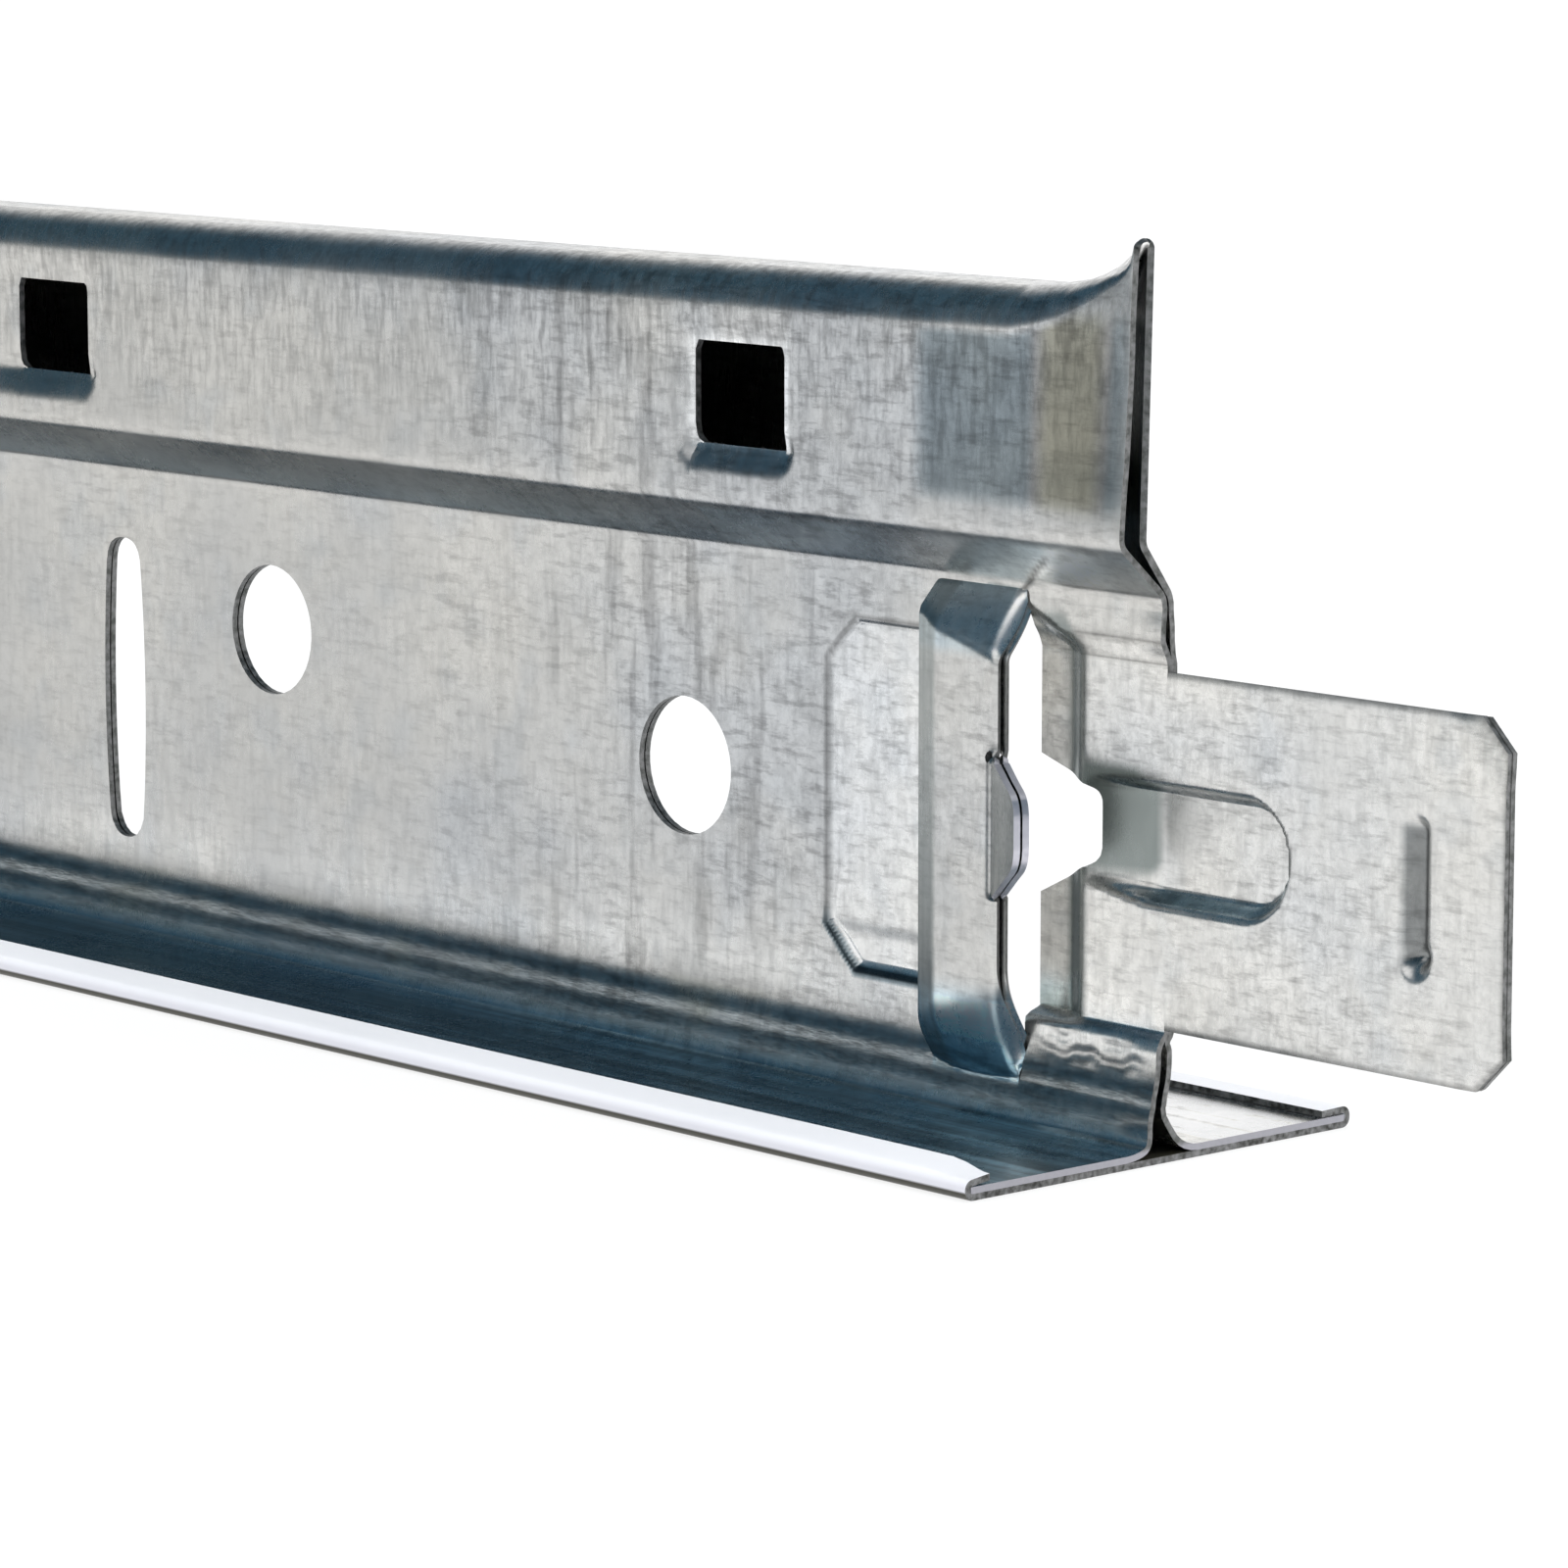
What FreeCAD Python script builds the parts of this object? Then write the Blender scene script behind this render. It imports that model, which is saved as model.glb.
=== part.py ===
import FreeCAD, Part
import math
import os

# Main runner of a suspended ceiling grid: an inverted tee, roll formed from thin steel.
# X runs along the runner, Y across its face and Z up. The origin is under the middle
# of the visible face, on the level that the face rests on. All sizes are millimetres.
# The tee body is one galvanised sheet that is folded up one side of the web, round
# the hollow bulb and down the other side. The face cap is a painted steel strip that
# is hemmed over both edges of the flange. Each end carries a splice tongue and a belt
# that holds the tongue of the next runner; one end is the other turned about Z.

# Whole runner
runner_length = 3657.6
runner_height = 38.1
face_width = 23.8

# Sheets
skin = 0.30
seam = 0.08
cap_skin = 0.30
cap_clearance = 0.05

# Flange and hem
flange_bend = 2.0
hem_width = 1.8
hem_height = 1.0
near_lip_height = 1.4
far_lip_height = 0.95
hem_bend = 0.30

# Bulb and shoulder
bulb_width = 6.0
bulb_foot = 27.3
shoulder_foot = 24.95
bulb_bend = 1.3
shoulder_bend = 0.8

# Pinched end of the bulb
pinch_length = 7.0
pinch_rise = 2.5
pinch_width = 1.25
pinch_foot_width = 1.6
pinch_lean = 0.8
pinch_bend = 0.40
squeeze_power = 1.5
rise_power = 4
pinch_steps = 8

# Cross tee slots
slot_from_end = 76.2
slot_pitch = 152.4
slot_width = 3.0
slot_height = 15.8
slot_middle = 13.3
slot_bow = 0.3

# Round hanger holes, two by each slot
hanger_hole_diameter = 6.6
near_hole_from_end = 31.5
near_hole_height = 14.15
far_hole_from_end = 63.5
far_hole_height = 17.55

# Square holes in one wall of the bulb
bulb_hole_from_end = 24.75
bulb_hole_pitch = 53.9
bulb_hole_width = 6.2
bulb_hole_height = 4.8
bulb_hole_middle = 32.2
bulb_hole_corner = 0.6

# Belt of both skins, pressed out of the web
belt_left = 14.1
belt_right = 8.4
belt_top = 24.5
belt_bottom = 3.3
belt_depth = 1.9
belt_top_ramp = 2.9
belt_bottom_ramp = 3.3

# Catching edge of the belt, turned in towards the web
lip_width = 1.5
lip_depth = 1.6
lip_top_ramp = 1.8
lip_bottom_ramp = 2.1
edge_depth = 1.15
edge_top_ramp = 1.2
edge_bottom_ramp = 1.3

# Lead-in tab on the free edge of the belt
tab_length = 4.2
tab_angle = 31.0
tab_mouth_top = 17.2
tab_mouth_bottom = 10.95
tab_tip_top = 15.95
tab_tip_bottom = 12.95

# Seat for the tip of the next tongue
seat_left = 21.6
seat_top = 22.35
seat_bottom = 6.0
seat_corner = 2.0

# Tongue
tongue_length = 19.6
tongue_top = 21.65
tongue_bottom = 5.9
tongue_corner = 1.5
jog_top = 23.0
jog_top_drop = 1.0
jog_bottom = 5.3
jog_bottom_rise = 0.45
root_ramp_start = 6.5
root_ramp_end = 5.0
root_offset = 0.5
root_top = 22.3

# Stop and detent pressed into the tongue
stop_left = 3.2
stop_right = 7.0
stop_top = 16.5
stop_bottom = 11.65
stop_depth = 1.0
detent_left = 13.9
detent_right = 15.4
detent_top = 16.7
detent_bottom = 10.2
detent_depth = 0.5

# Worked out from the sizes above
web = 2 * skin + seam
pressed = 2 * skin
web_line = (seam + skin) / 2
flange_line = cap_skin + skin / 2
flange_half = face_width / 2 - cap_skin - cap_clearance
bulb_line = (bulb_width - skin) / 2
bulb_top_line = runner_height - skin / 2
tongue_line = pressed / 2
end_reach = max(pinch_length, seat_left + web)


def vector(x, y, z):
    return FreeCAD.Vector(x, y, z)


def bend_geometry(points, radii):
    """Tangent points, centre, turn and radius of the bend at each inner corner."""
    bends = []
    for before, corner, after, radius in zip(points, points[1:], points[2:], radii):
        run_in = (corner - before).normalize()
        run_out = (after - corner).normalize()
        turn = run_in.getAngle(run_out)
        side = 1 if run_in.cross(run_out).x > 0 else -1
        reach = radius * math.tan(turn / 2)
        start = corner - run_in * reach
        end = corner + run_out * reach
        normal_in = vector(1, 0, 0).cross(run_in)
        centre = start + normal_in * (side * radius)
        bends.append((start, end, corner, centre, side, radius))
    return bends


def offset_line(points, bends, offset):
    """Edges of the line that runs beside a folded centreline at a set distance."""
    edges = []
    run = (points[1] - points[0]).normalize()
    here = points[0] + vector(1, 0, 0).cross(run) * offset
    for start, end, corner, centre, side, radius in bends:
        share = (radius - side * offset) / radius
        arc_start = centre + (start - centre) * share
        arc_end = centre + (end - centre) * share
        arc_middle = centre + (corner - centre).normalize() * (radius * share)
        edges.append(Part.makeLine(here, arc_start))
        edges.append(Part.Arc(arc_start, arc_middle, arc_end).toShape())
        here = arc_end
    run = (points[-1] - points[-2]).normalize()
    last = points[-1] + vector(1, 0, 0).cross(run) * offset
    edges.append(Part.makeLine(here, last))
    return edges


def folded_wire(corners, radii, thickness, x):
    """Closed outline, in the plane at x, of a sheet folded along the given corners."""
    points = [vector(x, y, z) for y, z in corners]
    bends = bend_geometry(points, radii)
    left = offset_line(points, bends, thickness / 2)
    right = offset_line(points, bends, -thickness / 2)
    start_cap = Part.makeLine(right[0].Vertexes[0].Point, left[0].Vertexes[0].Point)
    end_cap = Part.makeLine(left[-1].Vertexes[-1].Point, right[-1].Vertexes[-1].Point)
    return Part.Wire([start_cap] + left + [end_cap] + right[::-1])


def folded_sheet(corners, radii, thickness, x_start, x_end):
    """A folded sheet that keeps one section from x_start to x_end."""
    wire = folded_wire(corners, radii, thickness, x_start)
    return Part.Face(wire).extrude(vector(x_end - x_start, 0, 0))


def body_corners(share):
    """Centreline of the whole folded section; share is 0 along the runner, 1 at its end."""
    squeeze = share ** squeeze_power
    top = bulb_top_line + pinch_rise * share ** rise_power
    top_far = bulb_line + (pinch_width - bulb_width + pinch_lean) * squeeze
    foot_far = bulb_line + (pinch_foot_width - bulb_width) * squeeze
    return [(-flange_half, flange_line), (-web_line, flange_line),
            (-web_line, shoulder_foot), (-bulb_line, bulb_foot),
            (-bulb_line + pinch_lean * squeeze, top),
            (top_far, top), (foot_far, bulb_foot),
            (web_line, shoulder_foot), (web_line, flange_line),
            (flange_half, flange_line)]


def body_radii(share):
    top = bulb_bend + (pinch_bend - bulb_bend) * share ** squeeze_power
    return [flange_bend, shoulder_bend, shoulder_bend, top, top,
            shoulder_bend, shoulder_bend, flange_bend]


def straight_body():
    reach = runner_length / 2 - end_reach
    return folded_sheet(body_corners(0), body_radii(0), skin, -reach, reach)


def end_body():
    """The last stretch of the section, up to the end plane at x = 0, with its pinched bulb."""
    plain = folded_sheet(body_corners(0), body_radii(0), skin, -end_reach, -pinch_length)
    pieces = [plain] if end_reach > pinch_length else []
    stations = []
    for step in range(pinch_steps + 1):
        share = math.sqrt(step / pinch_steps)
        x = -pinch_length * (1 - share)
        stations.append(folded_wire(body_corners(share), body_radii(share), skin, x))
    pieces.append(Part.makeLoft(stations, True, True))
    return pieces[0].fuse(pieces[1:]) if len(pieces) > 1 else pieces[0]


def prism(outline, y_start, y_end):
    """A flat outline of (x, z) points, extruded along Y."""
    points = [vector(x, y_start, z) for x, z in outline]
    face = Part.Face(Part.makePolygon(points + points[:1]))
    return face.extrude(vector(0, y_end - y_start, 0))


def block(x_start, x_end, y_start, y_end, z_start, z_end):
    corner = vector(x_start, y_start, z_start)
    return Part.makeBox(x_end - x_start, y_end - y_start, z_end - z_start, corner)


def web_openings():
    """What is lanced out of the web before the belt, seat and tongue are formed."""
    belt = block(-belt_left, -belt_right, -web, web, belt_bottom, belt_top)
    root = block(-belt_right, 1, -web, web, jog_bottom, jog_top)
    return [belt, root, prism(seat_outline(), -web, web)]


def seat_outline():
    return [(-belt_left, seat_bottom), (-belt_left, seat_top),
            (-seat_left + seat_corner, seat_top),
            (-seat_left, seat_top - seat_corner),
            (-seat_left, seat_bottom + seat_corner),
            (-seat_left + seat_corner, seat_bottom)]


def seat():
    return prism(seat_outline(), 0, pressed)


def belt_wire(x, line, depth, top_ramp, bottom_ramp):
    """Section of one skin of the belt at x, bulged to the given depth."""
    corners = [(line, belt_top), (line - depth, belt_top - top_ramp),
               (line - depth, belt_bottom + bottom_ramp), (line, belt_bottom)]
    return folded_wire(corners, [skin, skin], skin, x)


def belt():
    """Both skins of the belt, with the lip turned in at its catching edge."""
    stations = [(-belt_left, edge_depth, edge_top_ramp, edge_bottom_ramp),
                (-belt_left + lip_width, lip_depth, lip_top_ramp, lip_bottom_ramp),
                (-belt_right, belt_depth, belt_top_ramp, belt_bottom_ramp)]
    skins = []
    for line in (-web_line, web_line):
        wires = [belt_wire(x, line, *shape) for x, *shape in stations]
        skins.append(Part.makeLoft(wires, True, True))
    return skins


def tab():
    """Lead-in tab, tapered and flared away from the web."""
    angle = math.radians(tab_angle)
    along = vector(math.cos(angle), -math.sin(angle), 0)
    across = vector(math.sin(angle), math.cos(angle), 0) * (web / 2)
    root = vector(-belt_right, -belt_depth, 0)
    tip = root + along * tab_length
    wires = []
    for middle, bottom, top in ((root, tab_mouth_bottom, tab_mouth_top),
                                (tip, tab_tip_bottom, tab_tip_top)):
        low = vector(0, 0, bottom)
        high = vector(0, 0, top)
        points = [middle - across + low, middle + across + low,
                  middle + across + high, middle - across + high]
        wires.append(Part.makePolygon(points + points[:1]))
    return Part.makeLoft(wires, True, True)


def tongue_root():
    """Jogged plate that carries the tongue, and the strip set further back beside the belt."""
    corners = [(0, belt_top), (0, jog_top), (tongue_line, jog_top - jog_top_drop),
               (tongue_line, jog_bottom + jog_bottom_rise), (0, jog_bottom), (0, belt_bottom)]
    plate = folded_sheet(corners, [pressed] * 4, pressed, -root_ramp_end, 0)
    plate = plate.common(block(-belt_right, 0, -web, 2 * web, jog_bottom, jog_top))
    outline = [(-belt_right, root_offset), (-root_ramp_start, root_offset),
               (-root_ramp_end, 0), (-root_ramp_end, pressed),
               (-root_ramp_start, root_offset + pressed), (-belt_right, root_offset + pressed)]
    strip_bottom = jog_bottom + jog_bottom_rise
    points = [vector(x, y, strip_bottom) for x, y in outline]
    face = Part.Face(Part.makePolygon(points + points[:1]))
    strip = face.extrude(vector(0, 0, root_top - strip_bottom))
    return [plate, strip]


def tongue_blade():
    corner = tongue_corner
    outline = [(0, tongue_bottom), (tongue_length - corner, tongue_bottom),
               (tongue_length, tongue_bottom + corner), (tongue_length, tongue_top - corner),
               (tongue_length - corner, tongue_top), (0, tongue_top)]
    return prism(outline, 0, pressed)


def lance():
    """Trapezoid gap in the tongue's root, which the lead-in tab was cut from."""
    tip = -belt_right + tab_length
    outline = [(-belt_right, tab_mouth_bottom), (tip, tab_tip_bottom),
               (tip, tab_tip_top), (-belt_right, tab_mouth_top)]
    return prism(outline, -web, 3 * web)


def oblong(x_start, x_end, z_start, z_end, radius, y_start, y_end):
    """Block with rounded corners, its round edges along Y."""
    box = block(x_start, x_end, y_start, y_end, z_start, z_end)
    upright = [edge for edge in box.Edges if abs(edge.tangentAt(edge.FirstParameter).y) > 0.5]
    return box.makeFillet(radius, upright)


def pressed_cup(x_start, x_end, z_start, z_end, depth):
    """Hollow pressed into the blade, as the metal it adds and the space it leaves."""
    radius = 0.49 * min(x_end - x_start, z_end - z_start)
    metal = oblong(x_start - skin, x_end + skin, z_start - skin, z_end + skin,
                   radius + skin, 0, depth + pressed)
    space = oblong(x_start, x_end, z_start, z_end, radius, -web, depth)
    return metal, space


def end_piece():
    """One finished end, with its end plane at x = 0 and its tongue beyond it."""
    body = end_body().cut(web_openings())
    parts = [seat(), tab(), tongue_blade()] + belt() + tongue_root()
    body = body.fuse(parts)
    cups = [pressed_cup(-stop_left, stop_right, stop_bottom, stop_top, stop_depth),
            pressed_cup(detent_left, detent_right, detent_bottom, detent_top, detent_depth)]
    body = body.fuse([metal for metal, space in cups])
    return body.cut([lance()] + [space for metal, space in cups])


def placed_end(piece, side):
    """The end piece moved to one end of the runner; side is 1 for +X and -1 for -X."""
    placed = piece.copy()
    if side < 0:
        placed.rotate(vector(0, 0, 0), vector(0, 0, 1), 180)
    placed.translate(vector(side * runner_length / 2, 0, 0))
    return placed


def slot_tool(x):
    """Cross tee slot with slightly bowed long sides."""
    half = slot_width / 2
    low = slot_middle - slot_height / 2
    high = slot_middle + slot_height / 2
    y = -bulb_width
    corners = [vector(x - half, y, low), vector(x + half, y, low),
               vector(x + half, y, high), vector(x - half, y, high)]
    right = Part.Arc(corners[1], vector(x + half + slot_bow, y, slot_middle), corners[2])
    left = Part.Arc(corners[3], vector(x - half - slot_bow, y, slot_middle), corners[0])
    wire = Part.Wire([Part.makeLine(corners[0], corners[1]), right.toShape(),
                      Part.makeLine(corners[2], corners[3]), left.toShape()])
    return Part.Face(wire).extrude(vector(0, 2 * bulb_width, 0))


def hole_tool(x, height):
    centre = vector(x, -bulb_width, height)
    return Part.makeCylinder(hanger_hole_diameter / 2, 2 * bulb_width, centre, vector(0, 1, 0))


def bulb_hole_tool(x):
    half = bulb_hole_width / 2
    low = bulb_hole_middle - bulb_hole_height / 2
    high = bulb_hole_middle + bulb_hole_height / 2
    return oblong(x - half, x + half, low, high, bulb_hole_corner, -bulb_width, 0)


def places_from_ends(from_end, pitch):
    """Places repeated from each end of the runner towards its middle."""
    half_length = runner_length / 2
    places = []
    distance = from_end
    while distance < half_length:
        places.append(half_length - distance)
        places.append(distance - half_length)
        distance += pitch
    return places


def bulb_hole_places():
    """Evenly spaced places along the whole bulb, the same distance from both ends."""
    span = runner_length - 2 * bulb_hole_from_end
    count = max(1, round(span / bulb_hole_pitch))
    return [bulb_hole_from_end - runner_length / 2 + span * i / count for i in range(count + 1)]


def perforations():
    tools = [slot_tool(x) for x in places_from_ends(slot_from_end, slot_pitch)]
    for from_end, height in ((near_hole_from_end, near_hole_height),
                             (far_hole_from_end, far_hole_height)):
        tools += [hole_tool(x, height) for x in places_from_ends(from_end, slot_pitch)]
    tools += [bulb_hole_tool(x) for x in bulb_hole_places()]
    return tools


def tee_body():
    piece = end_piece()
    body = straight_body().fuse([placed_end(piece, 1), placed_end(piece, -1)])
    return body.cut(perforations())


def face_cap():
    """Flat face with both edges folded up and over the flange."""
    half_skin = cap_skin / 2
    outer = face_width / 2 - half_skin
    tip = face_width / 2 - hem_width
    top = hem_height - half_skin
    corners = [(-tip, near_lip_height - half_skin), (-outer, top), (-outer, half_skin),
               (outer, half_skin), (outer, top), (tip, far_lip_height - half_skin)]
    return folded_sheet(corners, [hem_bend] * 4, cap_skin, -runner_length / 2, runner_length / 2)


def save(name, shape):
    solids = shape.Solids
    print(name, "solids", len(solids), "valid", shape.isValid(), "volume", round(shape.Volume, 1))
    result = solids[0] if len(solids) == 1 else Part.makeCompound(solids)
    result.exportStep("parts/" + name + ".step")


os.makedirs("parts", exist_ok=True)
save("tee_body", tee_body())
save("face_cap", face_cap())
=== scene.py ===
import math

import bpy
import numpy as np
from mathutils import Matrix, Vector


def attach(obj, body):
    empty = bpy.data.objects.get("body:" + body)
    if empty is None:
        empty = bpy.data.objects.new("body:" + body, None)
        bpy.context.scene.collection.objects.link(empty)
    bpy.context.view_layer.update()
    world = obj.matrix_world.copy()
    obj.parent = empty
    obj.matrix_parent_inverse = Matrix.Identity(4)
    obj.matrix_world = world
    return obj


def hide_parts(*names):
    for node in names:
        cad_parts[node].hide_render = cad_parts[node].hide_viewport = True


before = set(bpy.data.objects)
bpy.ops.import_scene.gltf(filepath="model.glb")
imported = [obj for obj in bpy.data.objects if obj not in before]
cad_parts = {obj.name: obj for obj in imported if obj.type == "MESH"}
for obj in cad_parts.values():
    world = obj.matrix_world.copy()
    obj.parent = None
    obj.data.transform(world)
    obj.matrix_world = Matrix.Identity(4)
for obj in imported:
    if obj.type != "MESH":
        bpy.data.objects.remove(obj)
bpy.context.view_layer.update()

# Main runner of a suspended ceiling grid, seen at its splice end.
# Sizes are millimetres in the part's frame; a mesh is put into metres when it is made.
# The splice end is worked out with its end plane at x = 0 and its tongue beyond it.

# Whole runner
runner_length = 3657.6
half_length = runner_length / 2
runner_height = 38.1
face_width = 23.8

# Sheets
skin = 0.30
seam = 0.08
cap_skin = 0.30
cap_clearance = 0.05
skin_opening = 0.15
web_line = (seam + skin) / 2
flange_line = cap_skin + skin / 2
flange_half = face_width / 2 - cap_skin - cap_clearance

# Flange, shoulder and bulb
flange_bend = 2.0
shoulder_foot = 24.95
shoulder_bend = 0.8
bulb_foot = 27.3
bulb_bend = 1.75
bulb_width = 6.0
bulb_line = (bulb_width - skin) / 2
bulb_top = runner_height - skin / 2

# Pinched end of the bulb
pinch_length = 7.0
pinch_width = 1.15
pinch_foot_width = 1.6
pinch_lean = 0.8
pinch_bend = 0.35

# Openings along the runner
slot_from_end = 76.2
slot_pitch = 152.4
slot_width = 3.0
slot_height = 15.8
slot_middle = 13.3
slot_bow = 0.3
hanger_radius = 3.3
hanger_holes = ((31.5, 14.15), (63.5, 17.55))
bulb_hole_from_end = 24.75
bulb_hole_pitch = 53.9
bulb_hole_width = 6.2
bulb_hole_height = 4.8
bulb_hole_middle = 32.2
bulb_hole_corner = 0.3

# Belt
belt_left = 14.1
belt_right = 8.4
belt_top = 24.5
belt_bottom = 3.3
belt_depth = 1.9
belt_top_ramp = 2.9
belt_bottom_ramp = 3.3
lip_width = 1.5
lip_depth = 1.6
lip_top_ramp = 1.8
lip_bottom_ramp = 2.1
edge_depth = 1.15
edge_top_ramp = 1.2
edge_bottom_ramp = 1.3
belt_gap = 0.14

# Lead-in tab
tab_length = 4.2
tab_angle = 31.0
tab_mouth = (10.95, 17.2)
tab_tip = (12.95, 15.95)
tab_root = 1.0
relief_radius = 0.27
relief_from_root = (0.62, 0.02)

# Seat
seat_left = 21.6
seat_top = 22.35
seat_bottom = 6.0
seat_corner = 2.0
seat_near = 0.34
seat_far = 0.26

# Tongue and its root
tongue_length = 19.6
tongue_top = 21.65
tongue_bottom = 5.9
tongue_corner = 1.5
jog_top = (22.0, 23.0)
jog_bottom = (5.3, 5.75)
root_ramp = (-6.5, -5.0)
root_offset = 0.5
root_fan = 22.3
stop_start = -5.1
stop_ramp = 3.9
stop_end = 7.0
stop_low, stop_high = 11.65, 16.5
stop_middle = (stop_low + stop_high) / 2
stop_radius = (stop_high - stop_low) / 2
stop_wall = 0.72
stop_depth = 1.0
detent_span = (13.9, 15.4)
detent_height = (10.2, 16.7)
detent_depth = 0.5

# Hem of the face strip: the reach and height of its lips, and how far the near one is
# pressed down and out at the cut ends
hem_width = 1.8
hem_bend = 0.30
near_hem_height = 1.4
near_hem_corner = 1.0
far_hem_height = 0.95
far_hem_corner = 0.99
hem_wave = 0.06
hem_drop = 0.30
hem_shift = 0.35
hem_press_length = 3.0

# The web's foot as the rolls leave it, by height: its offset from the web's plane; and a
# painted light and shade factor by height for the near flange, the foot and the webs
foot_heights = (0.45, 0.57, 0.72, 0.92, 1.16, 1.45, 1.77, 2.10, 2.45, 2.70, 2.85, 3.00, 3.15,
                3.30, 3.60, 3.90, 4.10, 4.40, 4.80)
foot_offsets = (0.0, 0.18, 0.20, 0.05, -0.125, -0.28, -0.367, -0.374, -0.335, -0.302, -0.280,
                -0.252, -0.215, -0.171, -0.096, -0.047, -0.025, -0.007, 0.0)
foot_shade_heights = (0.45, 0.72, 0.92, 1.16, 1.45, 1.77, 2.10, 2.45, 3.0, 3.3, 3.6, 3.9, 4.2, 4.5,
                4.8, 5.4, 5.85, 6.6, 8.0, 10.0)
painted_foot_shades = (0.66, 0.66, 1.02, 1.40, 1.35, 0.85, 0.55, 0.76, 0.76, 0.62, 0.80, 0.90, 1.02, 1.28,
              1.46, 1.42, 1.30, 1.18, 1.06, 1.0)

# How far the finely meshed end reaches, and the finely meshed run behind it; the mesh
# steps of the seen end, the far end, the run behind the seen end and the rest of the run;
# the widest gap between two columns, and the angle past which a fold is shaded sharp
end_reach = 28.05
near_reach = 130.0
seen_end_step = 0.21
far_end_step = 0.45
near_run_step = 0.5
far_run_step = 1.2
widest_column = 30.0
sharp_fold_angle = 66.0

# The photograph's camera: focal length in pixels, image width, place and direction
focal_pixels = 6431.2
image_width = 1600
sensor_width = 36.0
camera_place = (2019.22, -192.31, 57.85)
camera_azimuth = 48.226
camera_elevation = 8.643

# Zones of the folded section, counted along it: a run is even and a bend is odd
NEAR_WEB, NEAR_WALL, FAR_WALL, FAR_WEB = 2, 6, 12, 16
NEAR_FOOT, NEAR_SLOPE, NEAR_TOP, RIDGE, FAR_TOP, FAR_FOOT, FAR_FLANGE = 1, 4, 8, 9, 10, 17, 18


def spaced(stops, largest):
    """Grid lines through all the stops; each span between two stops has its own largest step."""
    spans = []
    for start, end, step in zip(stops, stops[1:], largest):
        count = max(1, math.ceil((end - start) / step - 1e-9))
        spans.append(np.linspace(start, end, count + 1)[:-1])
    return np.append(np.concatenate(spans), stops[-1])


def smooth(share):
    """The cubic step 3t^2 - 2t^3, held at 0 and 1 outside the span."""
    share = np.clip(share, 0.0, 1.0)
    return share * share * (3.0 - 2.0 * share)


def soft_min(a, b, width):
    """The lesser of a and b, rounded by a parabola where they are nearer than width."""
    return np.minimum(a, b) - np.maximum(width - np.abs(a - b), 0.0) ** 2 / (4.0 * width)


def soft_max(a, b, width):
    """The greater of a and b, rounded in the same way."""
    return -soft_min(-a, -b, width)


def folded(corners, radii, shares):
    """Points of a folded line with rounded bends, for every column at once.
    A run is the blend of its two tangent points; a bend turns the arm from its centre
    through the bend's angle. shares says, for each run and bend in turn, how far along
    it the rows lie. corners has the shape (corner, column, 2)."""
    run = np.diff(corners, axis=0)
    run = run / np.linalg.norm(run, axis=2, keepdims=True)
    cross = run[:-1, :, 0] * run[1:, :, 1] - run[:-1, :, 1] * run[1:, :, 0]
    turn = np.arctan2(cross, (run[:-1] * run[1:]).sum(axis=2))
    reach = (radii * np.tan(np.abs(turn) / 2))[:, :, None]
    starts = corners[1:-1] - run[:-1] * reach
    ends = corners[1:-1] + run[1:] * reach
    arm = np.stack([run[:-1, :, 1], -run[:-1, :, 0]], axis=2)
    arm = arm * (radii * np.sign(turn))[:, :, None]
    run_from = np.concatenate([corners[:1], ends])
    run_to = np.concatenate([starts, corners[-1:]])
    rows = []
    for i in range(len(shares)):
        t = shares[i][None, :, None]
        k = i // 2
        if i % 2 == 0:
            rows.append(run_from[k][:, None] * (1 - t) + run_to[k][:, None] * t)
        else:
            angle = turn[k][:, None] * shares[i][None, :]
            y, z = arm[k][:, :1], arm[k][:, 1:]
            turned = np.stack([y * np.cos(angle) - z * np.sin(angle),
                               y * np.sin(angle) + z * np.cos(angle)], axis=2)
            rows.append((starts[k] - arm[k])[:, None] + turned)
    return np.concatenate(rows, axis=1)


def section_corners(x):
    """Corners of the tee's centreline at each x from the end plane, with the bulb crushed
    flat over its last few millimetres: the far wall swings in by (1 + x/length)^1.5 and
    the top buckles up, first at its ridge and last at its near corner."""
    share = np.clip(1 + x / pinch_length, 0, 1)
    squeeze = share ** 1.5
    near_rise = np.interp(-x, [0, 0.1, 0.45, 1.0, 2.3, 4.0, 7.0],
                          [2.3, 1.6, 1.07, 0.7, 0.35, 0.12, 0])
    ridge_rise = np.interp(-x, [0, 0.4, 1.0, 2.0, 4.0, 7.0], [2.48, 2.1, 1.75, 1.2, 0.45, 0])
    near_top = -bulb_line + pinch_lean * squeeze
    far_top = bulb_line + (pinch_width - bulb_width + pinch_lean) * squeeze
    far_foot = bulb_line + (pinch_foot_width - bulb_width) * squeeze
    same = np.ones_like(x)
    points = [(-flange_half * same, flange_line * same), (-web_line * same, flange_line * same),
              (-web_line * same, shoulder_foot * same), (-bulb_line * same, bulb_foot * same),
              (near_top, bulb_top + near_rise),
              (near_top * 0.4 + far_top * 0.6, bulb_top + ridge_rise),
              (far_top, bulb_top + ridge_rise * 0.93),
              (far_foot, bulb_foot * same), (web_line * same, shoulder_foot * same),
              (web_line * same, flange_line * same), (flange_half * same, flange_line * same)]
    return np.array([np.stack(p, axis=1) for p in points])


def section_radii(x):
    """Radii of the section's nine bends at each x; the two at the bulb's top tighten by the
    same power as the wall swings in."""
    squeeze = np.clip(1 + x / pinch_length, 0, 1) ** 1.5
    same = np.ones_like(x)
    top = bulb_bend + (pinch_bend - bulb_bend) * squeeze
    ridge = 0.35 * same
    return np.stack([flange_bend * same, shoulder_bend * same, shoulder_bend * same, top,
                     ridge, top, shoulder_bend * same, shoulder_bend * same,
                     flange_bend * same])


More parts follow.
